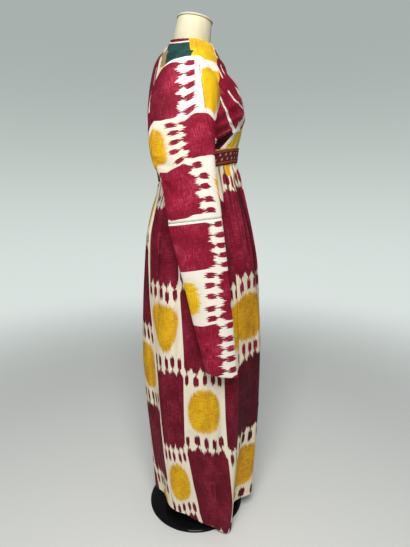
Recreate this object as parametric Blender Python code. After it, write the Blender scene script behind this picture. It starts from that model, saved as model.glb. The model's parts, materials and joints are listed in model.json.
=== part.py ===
"""Ikat robe with a woven waistband, worn on a limbless dress form.

Metres, +Z up. The front faces -Y and the wearer's right side faces -X. The origin is the
middle of the base's underside. Angles round the body start at the front and grow towards
the wearer's right, so 90 is the right side and 180 the middle of the back.
"""

import math

import bmesh
import bpy
import numpy as np

# Cloth
WALL = 0.002
SEAM_GAP = 0.0003
LAYER_GAP = 0.0012
COLUMN_ANGLE = 3.6

# Levels
HEM_LEVEL = 0.045
BAND_BOTTOM = 1.111
BAND_TOP = 1.151
BAND_MIDDLE = (BAND_BOTTOM + BAND_TOP) / 2
UNDERARM_LEVEL = 1.200
SHOULDER_LEVEL = 1.352
NECK_SIDE_LEVEL = 1.417
NECK_BACK_LEVEL = 1.427

# How far each front reaches over the other, as an angle past the middle
FRONT_OVERLAP = 18.0

# Armhole
ARMHOLE_FRONT = 27.5
ARMHOLE_BACK = 40.0
ARMHOLE_STEPS = 10
ARMHOLE_GAP = 0.0005

# Dress form
CAP_RADIUS = 0.0485
CAP_TILT = math.radians(8.4)
CAP_CENTRE = (0.0, -0.003, 1.4780)
CAP_THICKNESS = 0.007
NECK_BASE_LEVEL = 1.4155
NECK_BASE_CENTRE_Y = 0.0085
NECK_BASE_HALF = 0.053
NECK_BASE_DEPTH = 0.0535
POLE_RADIUS = 0.0125
BASE_RADIUS = 0.155
FORM_BOTTOM = 0.780

# Outer surface of the robe round the body. drop is how far the back of a section hangs
# below its front, half is half the width, and front and back are the depths from the axis.
# power is the roundness: 2 is an ellipse, more is squarer.
ROBE_COLUMNS = ("level", "drop", "half", "front", "back", "power")
ROBE_SECTIONS = (
    (0.000, 0.000, 0.152, 0.178, 0.128, 2.05),
    (0.150, 0.000, 0.166, 0.185, 0.134, 2.20),
    (0.260, 0.000, 0.175, 0.190, 0.140, 2.30),
    (0.380, 0.000, 0.180, 0.195, 0.148, 2.30),
    (0.560, 0.000, 0.182, 0.197, 0.156, 2.25),
    (0.700, 0.000, 0.179, 0.192, 0.153, 2.20),
    (0.820, 0.004, 0.173, 0.185, 0.147, 2.20),
    (0.920, 0.015, 0.164, 0.168, 0.140, 2.20),
    (1.010, 0.035, 0.150, 0.147, 0.124, 2.15),
    (1.070, 0.048, 0.139, 0.131, 0.108, 2.10),
    (1.111, 0.052, 0.133, 0.119, 0.100, 2.10),
    (1.151, 0.052, 0.134, 0.123, 0.106, 2.10),
    (1.175, 0.049, 0.143, 0.130, 0.117, 2.10),
    (1.208, 0.041, 0.157, 0.137, 0.126, 2.15),
    (1.228, 0.035, 0.163, 0.1425, 0.127, 2.18),
    (1.254, 0.027, 0.172, 0.138, 0.128, 2.20),
    (1.300, 0.012, 0.183, 0.122, 0.122, 2.20),
    (1.335, 0.003, 0.189, 0.093, 0.114, 2.00),
    (1.352, 0.000, 0.187, 0.088, 0.109, 1.90),
    (1.372, 0.000, 0.158, 0.077, 0.103, 1.70),
    (1.392, 0.000, 0.122, 0.073, 0.090, 1.60),
    (1.407, 0.000, 0.091, 0.069, 0.079, 1.65),
    (1.417, 0.000, 0.066, 0.062, 0.070, 1.80),
    (1.430, 0.000, 0.059, 0.056, 0.064, 2.00),
)

# Inner edge of each front, as the angle it reaches across the middle at each level.
NECKLINE_COLUMNS = ("level", "angle")
NECKLINE = (
    (1.131, -17.0),
    (1.155, -15.0),
    (1.210, -8.0),
    (1.254, -1.0),
    (1.300, 5.5),
    (1.340, 12.0),
    (1.372, 24.0),
    (1.397, 42.0),
    (1.408, 60.0),
    (1.4165, 85.0),
)

# Lower edge of the robe: its height at each angle, lowest at the right front corner.
HEM_COLUMNS = ("angle", "height")
HEM = (
    (-180.0, 0.080),
    (-135.0, 0.066),
    (-90.0, 0.044),
    (-62.0, 0.026),
    (-25.0, 0.044),
    (0.0, 0.052),
    (20.0, 0.055),
    (38.0, 0.048),
    (60.0, 0.006),
    (75.0, 0.020),
    (90.0, 0.044),
    (110.0, 0.078),
    (135.0, 0.093),
    (160.0, 0.096),
    (180.0, 0.080),
)

# Seams between the skirt's front and side panels and between its side and back panels, as
# angles on the right side. They run askew, because the panels are cut wider at the hem.
SEAM_COLUMNS = ("level", "front", "back")
SEAM_LINES = (
    (0.045, 60.5, 115.0),
    (0.120, 57.5, 119.0),
    (0.240, 54.0, 123.0),
    (0.420, 52.5, 127.0),
    (0.560, 52.5, 133.0),
    (0.680, 53.0, 141.0),
    (0.780, 54.0, 146.5),
    (0.950, 57.0, 150.5),
    (1.131, 57.6, 146.0),
)

# Long folds of the skirt. Each runs from its angle at the top level to its angle at the hem
# and stands out (or in, where negative) by its depth at half height and at the hem.
FOLD_COLUMNS = ("top_angle", "hem_angle", "top_level", "width", "middle", "hem")
FOLDS = (
    (60.0, 62.0, 0.95, 13.0, 0.006, 0.029),
    (40.0, 36.0, 1.02, 19.0, -0.007, -0.026),
    (16.0, 13.0, 1.05, 16.0, 0.005, 0.009),
    (-8.0, -10.0, 1.05, 15.0, -0.006, -0.012),
    (-26.0, -30.0, 1.05, 15.0, 0.006, 0.012),
    (-44.0, -48.0, 1.02, 16.0, -0.006, -0.015),
    (-62.0, -66.0, 0.95, 15.0, 0.007, 0.016),
    (-88.0, -90.0, 0.90, 20.0, -0.006, -0.010),
    (-112.0, -114.0, 0.98, 17.0, 0.006, 0.010),
    (-136.0, -138.0, 1.00, 17.0, -0.006, -0.011),
    (-158.0, -160.0, 1.02, 16.0, 0.006, 0.006),
    (180.0, 180.0, 1.04, 16.0, -0.007, -0.006),
    (160.0, 161.0, 1.02, 15.0, 0.006, 0.005),
    (138.0, 141.0, 1.00, 17.0, -0.007, -0.010),
    (114.0, 117.0, 0.97, 18.0, 0.005, 0.008),
    (88.0, 92.0, 0.88, 20.0, -0.004, -0.008),
)

# Gathers held by the waistband: ridges fade out above and below it.
FRONT_GATHERS = 12
BACK_GATHERS = 7
BODICE_GATHERS = 9
GATHER_DEPTH = 0.0040
SKIRT_GATHER_LENGTH = 0.075
BODICE_GATHER_LENGTH = 0.028

# Drape of the crossed fronts: soft ridges from the side seam up towards the neckline.
DRAPE_COLUMNS = ("side_level", "front_level", "width", "depth")
DRAPES = (
    (1.200, 1.300, 0.014, 0.0040),
    (1.180, 1.252, 0.012, 0.0040),
    (1.165, 1.205, 0.011, 0.0035),
)

# Rings of a hanging sleeve below the armhole. outer is the side away from the body and
# inner the side towards it. join is how far the ring has left the armhole's curve, and tilt
# how steeply it falls towards the back.
SLEEVE_COLUMNS = (
    "outer_x", "outer_z", "inner_x", "inner_z", "front", "back", "power", "join", "tilt"
)
SLEEVE_RINGS = (
    (0.200, 1.347, 0.163, 1.196, -0.062, 0.086, 2.0, 0.20, 0.00),
    (0.213, 1.332, 0.168, 1.191, -0.061, 0.093, 2.0, 0.50, 0.00),
    (0.227, 1.298, 0.175, 1.182, -0.059, 0.098, 2.0, 0.85, 0.00),
    (0.235, 1.245, 0.180, 1.168, -0.057, 0.101, 2.0, 1.00, 0.00),
    (0.238, 1.190, 0.183, 1.148, -0.054, 0.102, 1.9, 1.00, 0.00),
    (0.238, 1.125, 0.186, 1.105, -0.053, 0.097, 1.8, 1.00, 0.00),
    (0.236, 1.055, 0.188, 1.050, -0.060, 0.072, 1.7, 1.00, 0.05),
    (0.235, 0.964, 0.189, 0.962, -0.071, 0.059, 1.7, 1.00, 0.115),
    (0.234, 0.890, 0.190, 0.890, -0.081, 0.044, 1.7, 1.00, 0.05),
    (0.233, 0.800, 0.191, 0.800, -0.092, 0.0215, 1.7, 1.00, 0.00),
    (0.232, 0.700, 0.193, 0.700, -0.102, -0.001, 1.7, 1.00, 0.00),
    (0.231, 0.630, 0.194, 0.630, -0.109, -0.018, 1.7, 1.00, -0.05),
    (0.230, 0.558, 0.195, 0.558, -0.117, -0.033, 1.7, 1.00, -0.155),
)
SLEEVE_JOINT_ROW = 8
SLEEVE_JOINT_GAP = 0.0004
# The sleeve's pressed crease, by its angle round the ring at the shoulder and at the elbow.
CREASE_TOP_ANGLE = 34.0
CREASE_LOW_ANGLE = 72.0
CREASE_WIDTH = 24.0
CREASE_HEIGHT = 0.004
CREASE_LOW_LEVEL = 1.06
LEFT_SLEEVE_SWING = 0.014

# Dress form's torso
FORM_COLUMNS = ("level", "half", "front", "back", "power")
FORM_SECTIONS = (
    (0.780, 0.140, 0.096, 0.092, 2.1),
    (0.792, 0.151, 0.104, 0.100, 2.1),
    (0.860, 0.163, 0.112, 0.112, 2.1),
    (0.940, 0.151, 0.106, 0.103, 2.1),
    (1.040, 0.115, 0.090, 0.076, 2.1),
    (1.110, 0.117, 0.098, 0.078, 2.1),
    (1.190, 0.136, 0.113, 0.096, 2.1),
    (1.250, 0.152, 0.119, 0.107, 2.1),
    (1.300, 0.164, 0.101, 0.105, 2.1),
    (1.330, 0.170, 0.084, 0.099, 2.0),
    (1.348, 0.167, 0.076, 0.097, 1.9),
    (1.368, 0.155, 0.071, 0.094, 1.7),
    (1.388, 0.121, 0.067, 0.083, 1.6),
    (1.403, 0.090, 0.062, 0.072, 1.65),
    (1.415, 0.0605, 0.0565, 0.064, 1.80),
)

# Profile of the base, from the middle of its top out and down to the floor.
BASE_COLUMNS = ("radius", "height")
BASE_PROFILE = (
    (0.0225, 0.040),
    (0.030, 0.031),
    (0.060, 0.027),
    (0.095, 0.022),
    (0.125, 0.016),
    (0.145, 0.0105),
    (0.1525, 0.0065),
    (BASE_RADIUS, 0.003),
    (0.1535, 0.000),
)


def column(table, names, name):
    """One named column of a table."""
    return np.array([row[names.index(name)] for row in table], dtype=float)


def smooth_slopes(xs, ys):
    """Slopes at the table's rows that never overshoot between them."""
    steps = np.diff(ys) / np.diff(xs)
    slopes = np.empty_like(ys)
    slopes[0] = steps[0]
    slopes[-1] = steps[-1]
    before, after = steps[:-1], steps[1:]
    same = before * after > 0
    total = np.where(same, before + after, 1.0)
    slopes[1:-1] = np.where(same, 2 * before * after / total, 0.0)
    return slopes


def smooth_value(xs, ys, x):
    """Smooth curve through a table's column, held flat past its ends."""
    x = np.clip(np.asarray(x, dtype=float), xs[0], xs[-1])
    slopes = smooth_slopes(xs, ys)
    row = np.clip(np.searchsorted(xs, x, side="right") - 1, 0, len(xs) - 2)
    width = xs[row + 1] - xs[row]
    t = (x - xs[row]) / width
    start = (1 + 2 * t) * (1 - t) ** 2 * ys[row] + t * (1 - t) ** 2 * width * slopes[row]
    end = t * t * (3 - 2 * t) * ys[row + 1] + t * t * (t - 1) * width * slopes[row + 1]
    return start + end


def read(table, names, key, name, x):
    """Smooth value of one named column where the key column is x."""
    return smooth_value(column(table, names, key), column(table, names, name), x)


def ease(x):
    """0 below 0, 1 above 1 and smooth between."""
    t = np.clip(x, 0.0, 1.0)
    return t * t * (3 - 2 * t)


def bump(x):
    """1 at 0, falling smoothly to 0 at -1 and 1."""
    return np.where(np.abs(x) < 1, np.cos(np.clip(x, -1, 1) * math.pi / 2) ** 2, 0.0)


def turn_between(a, b):
    """Signed angle from b to a, in degrees, within half a turn."""
    return (a - b + 180.0) % 360.0 - 180.0


def round_section(angle, half, front, back, power):
    """Point of a body section in plan."""
    radians = np.radians(angle)
    s, c = np.sin(radians), np.cos(radians)
    x = -half * np.sign(s) * np.abs(s) ** (2 / power)
    depth = np.where(c > 0, front, back)
    y = -depth * np.sign(c) * np.abs(c) ** (2 / power)
    return x, y


def plain_robe(angle, level):
    """Outer surface of the robe with no folds."""
    values = [read(ROBE_SECTIONS, ROBE_COLUMNS, "level", name, level) for name in ROBE_COLUMNS[1:]]
    drop, half, front, back, power = values
    x, y = round_section(angle, half, front, back, power)
    z = level - drop * (1 - np.cos(np.radians(angle))) / 2
    return np.stack(np.broadcast_arrays(x, y, z), axis=-1)


def clear_of_overlap(angle):
    """0 where the fronts lie on each other, 1 away from there."""
    return ease((np.abs(angle) - FRONT_OVERLAP - 1) / 14)


def gathers(angle, level):
    """Height of the small gathers above and below the waistband."""
    spread = angle + 2.2 * np.sin(np.radians(angle) * 5) + 1.3 * np.cos(np.radians(angle) * 9)
    front = np.cos(np.radians(spread) * 2 * FRONT_GATHERS)
    back = np.cos(np.radians(spread) * 2 * BACK_GATHERS)
    bodice = np.cos(np.radians(spread) * 2 * BODICE_GATHERS) * clear_of_overlap(angle)
    behind = ease((np.abs(angle) - 95) / 20)
    wave = np.where(level > BAND_TOP, bodice, front * (1 - behind) + back * behind)
    under = np.clip((BAND_BOTTOM - level) / 0.016, 0, 1) * np.exp(-(BAND_BOTTOM - level) / SKIRT_GATHER_LENGTH)
    over = np.clip((level - BAND_TOP) / 0.012, 0, 1) * np.exp(-(level - BAND_TOP) / BODICE_GATHER_LENGTH)
    fade = np.where(level < BAND_BOTTOM, under, np.where(level > BAND_TOP, over, 0.0))
    return GATHER_DEPTH * wave * fade


def skirt_folds(angle, level):
    """Height of the long folds, which deepen towards the hem."""
    total = 0.0
    for top_angle, hem_angle, top_level, width, middle, hem in FOLDS:
        down = np.clip((top_level - level) / (top_level - HEM_LEVEL), 0, 1)
        centre = top_angle + (hem_angle - top_angle) * down
        depth = np.where(down < 0.5, middle * ease(down / 0.5), middle + (hem - middle) * (down - 0.5) / 0.5)
        total = total + depth * bump(turn_between(angle, centre) / width)
    return total


def bodice_drapes(angle, level):
    """Soft ridges that cross the fronts from the side seams up to the neckline."""
    total = 0.0
    across = np.clip(1 - np.abs(angle) / 90, 0, 1)
    for side_level, front_level, width, depth in DRAPES:
        centre = side_level + (front_level - side_level) * across
        strength = ease(across / 0.25) * clear_of_overlap(angle)
        total = total + depth * strength * bump((level - centre) / width)
    return total


def robe_surface(angle, level):
    """Outer surface of the robe, with its folds standing out from the axis."""
    angle, level = np.broadcast_arrays(np.asarray(angle, dtype=float), np.asarray(level, dtype=float))
    points = plain_robe(angle, level)
    height = gathers(angle, level)
    height = height + np.where(level < BAND_BOTTOM, skirt_folds(angle, level), 0.0)
    height = height + np.where(level > BAND_TOP, bodice_drapes(angle, level), 0.0)
    flat = points[..., :2]
    length = np.linalg.norm(flat, axis=-1)
    out = flat / np.maximum(length, 1e-6)[..., None]
    points = points.copy()
    points[..., :2] += out * height[..., None]
    return points


def surface_normals(surface, angle, level):
    """Outward normals of a surface given by angle and level."""
    turn, rise = 0.4, 0.0015
    round_way = surface(angle + turn, level) - surface(angle - turn, level)
    up_way = surface(angle, level + rise) - surface(angle, level - rise)
    normals = np.cross(up_way, round_way)
    return normals / np.linalg.norm(normals, axis=-1)[..., None]


def robe_layer(angle, level, inward):
    """Robe surface moved inwards along its own normal."""
    angle, level = np.broadcast_arrays(np.asarray(angle, dtype=float), np.asarray(level, dtype=float))
    inward = np.broadcast_to(inward, angle.shape)
    return robe_surface(angle, level) - surface_normals(robe_surface, angle, level) * inward[..., None]


def make_material(name, colour, roughness, metallic=0.0):
    """Plain finish for a piece."""
    material = bpy.data.materials.new(name)
    material.use_nodes = True
    shader = material.node_tree.nodes["Principled BSDF"]
    shader.inputs["Base Color"].default_value = (*colour, 1.0)
    shader.inputs["Roughness"].default_value = roughness
    shader.inputs["Metallic"].default_value = metallic
    material.diffuse_color = (*colour, 1.0)
    return material


def add_object(name, mesh_data, material, sharp_angle=40):
    """Object from a closed bmesh with its faces turned outwards."""
    bmesh.ops.recalc_face_normals(mesh_data, faces=mesh_data.faces)
    if mesh_data.calc_volume(signed=True) < 0:
        bmesh.ops.reverse_faces(mesh_data, faces=mesh_data.faces)
    mesh = bpy.data.meshes.new(name)
    mesh_data.to_mesh(mesh)
    mesh_data.free()
    mesh.materials.append(material)
    mesh.shade_smooth()
    mesh.set_sharp_from_angle(angle=math.radians(sharp_angle))
    piece = bpy.data.objects.new(name, mesh)
    bpy.context.collection.objects.link(piece)
    return piece


def make_wall(name, outer, inner, material, closed=False):
    """Thin wall between two grids of points, rows by columns. A closed one is a tube."""
    mesh_data = bmesh.new()
    rows, columns = outer.shape[:2]
    sides = []
    for grid in (outer, inner):
        sides.append([[mesh_data.verts.new(point) for point in row] for row in grid])
    front, back = sides
    last = columns if closed else columns - 1
    for i in range(rows - 1):
        for j in range(last):
            k = (j + 1) % columns
            mesh_data.faces.new((front[i][j], front[i][k], front[i + 1][k], front[i + 1][j]))
            mesh_data.faces.new((back[i][j], back[i + 1][j], back[i + 1][k], back[i][k]))
    for i in (0, rows - 1):
        for j in range(last):
            k = (j + 1) % columns
            mesh_data.faces.new((front[i][j], front[i][k], back[i][k], back[i][j]))
    if not closed:
        for j in (0, columns - 1):
            for i in range(rows - 1):
                mesh_data.faces.new((front[i][j], front[i + 1][j], back[i + 1][j], back[i][j]))
    return add_object(name, mesh_data, material)


def make_loft(name, rings, material, sharp_angle=40):
    """Closed body through rings of points, with flat ends."""
    mesh_data = bmesh.new()
    loops = [[mesh_data.verts.new(point) for point in ring] for ring in rings]
    count = len(loops[0])
    for lower, upper in zip(loops, loops[1:]):
        for j in range(count):
            k = (j + 1) % count
            mesh_data.faces.new((lower[j], lower[k], upper[k], upper[j]))
    mesh_data.faces.new(loops[0])
    mesh_data.faces.new(loops[-1])
    return add_object(name, mesh_data, material, sharp_angle)


# Skirt

SKIRT_LEVELS = (1.1115, 1.095, 1.065, 1.015, 0.930, 0.810, 0.660, 0.500, 0.340, 0.190, 0.100)
# Level below which the rows bend down to the hem's own line
HEM_PULL_LEVEL = 0.40


def hem_height(angle):
    """Height of the robe's lower edge."""
    return read(HEM, HEM_COLUMNS, "angle", "height", angle)


def edge_angles(edge, side, levels):
    """Angle of a panel's edge at each level. side is 1 on the right and -1 on the left."""
    if edge == "overlap":
        return np.full_like(levels, side * FRONT_OVERLAP)
    if edge == "middle":
        return np.full_like(levels, side * 180.0)
    return side * read(SEAM_LINES, SEAM_COLUMNS, "level", edge, levels)


def panel_grid(first, last):
    """Angles and levels of a panel's points, drawn back at its seams and ending on the hem."""
    plain = np.array((BAND_MIDDLE - SEAM_GAP / 2, *SKIRT_LEVELS, HEM_LEVEL))
    seam = math.degrees(SEAM_GAP / 2 / 0.12)
    start = edge_angles(*first, plain) + (0.0 if first[0] == "overlap" else seam)
    end = edge_angles(*last, plain) - (0.0 if last[0] == "overlap" else seam)
    count = round((end[0] - start[0]) / COLUMN_ANGLE)
    angles = start[:, None] + (end - start)[:, None] * np.linspace(0.0, 1.0, count + 1)
    pull = ease((HEM_PULL_LEVEL - plain) / (HEM_PULL_LEVEL - HEM_LEVEL))
    levels = plain[:, None] + (hem_height(angles) - HEM_LEVEL) * pull[:, None]
    return angles, levels


def under_layer(angles):
    """How far the left front lies beneath the right one."""
    return (WALL + LAYER_GAP) * ease((angles + FRONT_OVERLAP + 15.0) / 12.0)


def make_skirt_panel(name, first, last, material, under=False):
    """One gathered panel of the skirt between two edges."""
    angles, levels = panel_grid(first, last)
    inward = under_layer(angles) if under else 0.0
    outer = robe_layer(angles, levels, inward)
    inner = robe_layer(angles, levels, inward + WALL)
    return make_wall(name, outer, inner, material)


def make_skirt(material):
    """Six panels, the right front over the left."""
    make_skirt_panel("skirt_front_right", ("overlap", -1), ("front", 1), material)
    make_skirt_panel("skirt_front_left", ("front", -1), ("overlap", 1), material, under=True)
    make_skirt_panel("skirt_side_right", ("front", 1), ("back", 1), material)
    make_skirt_panel("skirt_side_left", ("back", -1), ("front", -1), material)
    make_skirt_panel("skirt_back_right", ("back", 1), ("middle", 1), material)
    make_skirt_panel("skirt_back_left", ("middle", -1), ("back", -1), material)


# Bodice

BODICE_LOW_LEVELS = (BAND_MIDDLE + SEAM_GAP / 2, 1.1515, 1.166, 1.183)
BODICE_HIGH_LEVELS = (1.364, 1.379, 1.394, 1.407, 1.4165)
FRONT_COLUMNS = 15
BACK_COLUMNS = 9


def armhole_levels(grow):
    """Levels down one side of the armhole, from the underarm to the shoulder."""
    turns = np.linspace(math.pi, 0.0, ARMHOLE_STEPS + 1)
    middle = (UNDERARM_LEVEL + SHOULDER_LEVEL) / 2
    half = (SHOULDER_LEVEL - UNDERARM_LEVEL) / 2 + grow
    return middle + half * np.cos(turns)


def armhole_reach(grow, width):
    """Angles by which the armhole opens at each of its levels."""
    turns = np.linspace(math.pi, 0.0, ARMHOLE_STEPS + 1)
    return (width + math.degrees(grow / 0.15)) * np.sin(turns)


def bodice_rows(width):
    """Level of each row, and how far its side edge stays from the side seam."""
    seam = math.degrees(SEAM_GAP / 2 / 0.12)
    levels = np.concatenate((BODICE_LOW_LEVELS, armhole_levels(ARMHOLE_GAP), BODICE_HIGH_LEVELS))
    low = np.full(len(BODICE_LOW_LEVELS), seam)
    high = np.full(len(BODICE_HIGH_LEVELS), seam)
    reach = np.concatenate((low, np.maximum(armhole_reach(ARMHOLE_GAP, width), seam), high))
    return levels, reach


def make_front(name, side, material, under):
    """One front of the bodice. side is 1 for the right and -1 for the left."""
    levels, reach = bodice_rows(ARMHOLE_FRONT)
    inner_edge = read(NECKLINE, NECKLINE_COLUMNS, "level", "angle", levels)
    outer_edge = 90.0 - reach
    across = np.linspace(0.0, 1.0, FRONT_COLUMNS)
    angles = inner_edge[:, None] + (outer_edge - inner_edge)[:, None] * across
    grid = np.broadcast_to(levels[:, None], angles.shape)
    inward = 0.0
    if under:
        beneath = ease((25.0 - angles) / 10.0) * ease((1.325 - grid) / 0.03)
        inward = (WALL + LAYER_GAP) * beneath
    outer = robe_layer(side * angles, grid, inward)
    inner = robe_layer(side * angles, grid, inward + WALL)
    return make_wall(name, outer, inner, material)


def make_back(name, side, material):
    """One half of the bodice's back, up to the neck."""
    levels, reach = bodice_rows(ARMHOLE_BACK)
    seam = math.degrees(SEAM_GAP / 2 / 0.12)
    across = np.linspace(0.0, 1.0, BACK_COLUMNS)
    start = 90.0 + reach
    angles = start[:, None] + (180.0 - seam - start)[:, None] * across
    grid = np.broadcast_to(levels[:, None], angles.shape)
    rise = (NECK_BACK_LEVEL - NECK_SIDE_LEVEL) * ease((angles - 90.0) / 90.0)
    grid = grid + rise * ease((grid - SHOULDER_LEVEL) / (NECK_SIDE_LEVEL - SHOULDER_LEVEL))
    outer = robe_layer(side * angles, grid, 0.0)
    inner = robe_layer(side * angles, grid, WALL)
    return make_wall(name, outer, inner, material)


def make_bodice(material):
    """Two crossed fronts and two halves of the back."""
    make_front("bodice_front_right", 1, material, under=False)
    make_front("bodice_front_left", -1, material, under=True)
    make_back("bodice_back_right", 1, material)
    make_back("bodice_back_left", -1, material)


# Waistband

BAND_STEP = 6.0
BAND_LIFT = 0.0006


def make_band(material):
    """Narrow patterned band over the seam of bodice and skirt."""
    angles = np.arange(-180.0, 180.0, BAND_STEP)
    levels = np.array((BAND_BOTTOM, BAND_MIDDLE, BAND_TOP))
    angle_grid, level_grid = np.meshgrid(angles, levels)
    points = plain_robe(angle_grid, level_grid)
    normals = surface_normals(plain_robe, angle_grid, level_grid)
    inner = points + normals * BAND_LIFT
    outer = inner + normals * WALL
    return make_wall("waistband", outer, inner, material, closed=True)


# Sleeves


def armhole_ring(turns):
    """The sleeve's first ring, on the body's own surface round the armhole."""
    middle = (UNDERARM_LEVEL + SHOULDER_LEVEL) / 2
    half = (SHOULDER_LEVEL - UNDERARM_LEVEL) / 2
    levels = middle + half * np.cos(turns)
    s = np.sin(turns)
    width = np.where(s > 0, ARMHOLE_FRONT, ARMHOLE_BACK)
    return robe_surface(90.0 - width * s, levels)


def hanging_ring(turns, row):
    """A ring of the hanging sleeve. Turn 0 is the outer side and a quarter turn the front."""
    value = dict(zip(SLEEVE_COLUMNS, row))
    s, c = np.sin(turns), np.cos(turns)
    along = np.sign(c) * np.abs(c) ** (2 / value["power"])
    aside = np.sign(s) * np.abs(s) ** (2 / value["power"])
    x = -((value["outer_x"] + value["inner_x"]) + (value["outer_x"] - value["inner_x"]) * along) / 2
    z = ((value["outer_z"] + value["inner_z"]) + (value["outer_z"] - value["inner_z"]) * along) / 2
    y = ((value["front"] + value["back"]) + (value["front"] - value["back"]) * aside) / 2
    z = z + value["tilt"] * (value["front"] - value["back"]) * aside / -2
    down = np.clip((SHOULDER_LEVEL - z) / (SHOULDER_LEVEL - CREASE_LOW_LEVEL), 0, 1)
    centre = CREASE_TOP_ANGLE + (CREASE_LOW_ANGLE - CREASE_TOP_ANGLE) * down
    height = CREASE_HEIGHT * bump(turn_between(np.degrees(turns), centre) / CREASE_WIDTH)
    height = height * ease((1 - down) / 0.3) * value["join"]
    return np.stack((x - height * 0.8, y - height * 0.6, z), axis=-1)


def sleeve_rings(swing):
    """All rings of the right sleeve, from the armhole to the cuff."""
    turns = np.linspace(0.0, 2 * math.pi, 2 * ARMHOLE_STEPS, endpoint=False)
    first = armhole_ring(turns)
    rings = [first]
    for row in SLEEVE_RINGS:
        join = row[SLEEVE_COLUMNS.index("join")]
        ring = first * (1 - join) + hanging_ring(turns, row) * join
        down = ease((SHOULDER_LEVEL - ring[:, 2]) / (SHOULDER_LEVEL - SLEEVE_RINGS[-1][1]))
        ring[:, 1] += swing * down
        rings.append(ring)
    return np.array(rings)


def tube_normals(rings):
    """Outward normals of a tube of rings."""
    round_way = np.roll(rings, -1, axis=1) - np.roll(rings, 1, axis=1)
    along = np.gradient(rings, axis=0)
    normals = np.cross(along, round_way)
    return normals / np.linalg.norm(normals, axis=-1)[..., None]


def make_sleeve(side, name, material):
    """Upper and lower strip of one sleeve, joined round the forearm."""
    rings = sleeve_rings(0.0 if side > 0 else LEFT_SLEEVE_SWING)
    inside = rings - tube_normals(rings) * WALL
    mirror = np.array((side, 1.0, 1.0))
    lift = np.array((0.0, 0.0, SLEEVE_JOINT_GAP / 2))
    for part, first, last in (("upper", 0, SLEEVE_JOINT_ROW), ("lower", SLEEVE_JOINT_ROW, len(rings) - 1)):
        outer = rings[first : last + 1].copy()
        inner = inside[first : last + 1].copy()
        joint = -1 if part == "upper" else 0
        way = 1 if part == "upper" else -1
        outer[joint] += lift * way
        inner[joint] += lift * way
        make_wall(f"sleeve_{part}_{name}", outer * mirror, inner * mirror, material, closed=True)


# Dress form

FORM_STEPS = 36
NECK_STEPS = 24
BASE_STEPS = 40
POLE_STEPS = 16


def circle(count):
    """Angles of a ring in degrees."""
    return np.linspace(0.0, 360.0, count, endpoint=False)


def make_torso(material):
    """Padded torso with shoulders and no arms."""
    angles = circle(FORM_STEPS)
    rings = []
    for level, half, front, back, power in FORM_SECTIONS:
        x, y = round_section(angles, half, front, back, power)
        rings.append(np.stack((x, y, np.full_like(x, level)), axis=-1))
    return make_loft("form_torso", rings, material)


def tilted_ring(radius, lift):
    """Ring of the neck's top, tilted forward with the cap."""
    radians = np.radians(circle(NECK_STEPS))
    x, y = -radius * np.sin(radians), -radius * np.cos(radians)
    centre_x, centre_y, centre_z = CAP_CENTRE
    return np.stack(
        (
            centre_x + x,
            centre_y + y * math.cos(CAP_TILT) - lift * math.sin(CAP_TILT),
            centre_z + y * math.sin(CAP_TILT) + lift * math.cos(CAP_TILT),
        ),
        axis=-1,
    )


def make_neck(material):
    """Neck block, from the torso up to the cap."""
    radians = np.radians(circle(NECK_STEPS))
    x, y = -NECK_BASE_HALF * np.sin(radians), NECK_BASE_CENTRE_Y - NECK_BASE_DEPTH * np.cos(radians)
    low = np.stack((x, y, np.full_like(x, NECK_BASE_LEVEL + SEAM_GAP)), axis=-1)
    high = tilted_ring(CAP_RADIUS - 0.0022, -SEAM_GAP)
    rings = [low]
    for share in (0.35, 0.7):
        waist = low * (1 - share) + high * share
        rings.append(waist)
    rings.append(high)
    return make_loft("form_neck", rings, material)


def make_cap(material):
    """Thin cap with a rounded rim on the neck."""
    rings = [
        tilted_ring(CAP_RADIUS - 0.0008, 0.0),
        tilted_ring(CAP_RADIUS, 0.0008),
        tilted_ring(CAP_RADIUS, 0.0032),
        tilted_ring(CAP_RADIUS - 0.0016, 0.0050),
        tilted_ring(CAP_RADIUS * 0.7, 0.0063),
        tilted_ring(CAP_RADIUS * 0.3, CAP_THICKNESS),
    ]
    return make_loft("form_neck_cap", rings, material)


def turned_ring(radius, height, count):
    """Level ring round the axis."""
    radians = np.radians(circle(count))
    x, y = -radius * np.sin(radians), -radius * np.cos(radians)
    return np.stack((x, y, np.full_like(x, height)), axis=-1)


def make_pole(material):
    """Pole between the base and the torso."""
    low = BASE_PROFILE[0][1] + SEAM_GAP
    high = FORM_BOTTOM - SEAM_GAP
    rings = [turned_ring(POLE_RADIUS, height, POLE_STEPS) for height in (low, high)]
    return make_loft("form_pole", rings, material)


def make_base(material):
    """Low domed base with a flat underside."""
    rings = [turned_ring(radius, height, BASE_STEPS) for radius, height in BASE_PROFILE]
    return make_loft("form_base", rings, material)


def clear_scene():
    """Remove what the file already holds."""
    for piece in list(bpy.data.objects):
        bpy.data.objects.remove(piece, do_unlink=True)


def main():
    clear_scene()
    ikat = make_material("ikat_cloth", (0.42, 0.03, 0.07), 0.62)
    woven = make_material("woven_band", (0.28, 0.03, 0.04), 0.75)
    jersey = make_material("cream_jersey", (0.82, 0.77, 0.62), 0.85)
    gloss = make_material("black_gloss", (0.01, 0.01, 0.01), 0.12)
    steel = make_material("pole_steel", (0.55, 0.55, 0.56), 0.3, 1.0)
    make_skirt(ikat)
    make_bodice(ikat)
    make_band(woven)
    make_sleeve(1, "right", ikat)
    make_sleeve(-1, "left", ikat)
    make_torso(jersey)
    make_neck(jersey)
    make_cap(jersey)
    make_pole(steel)
    make_base(gloss)


main()
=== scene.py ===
import json
import math

import bpy
import numpy as np
from mathutils import Matrix, Vector

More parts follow.
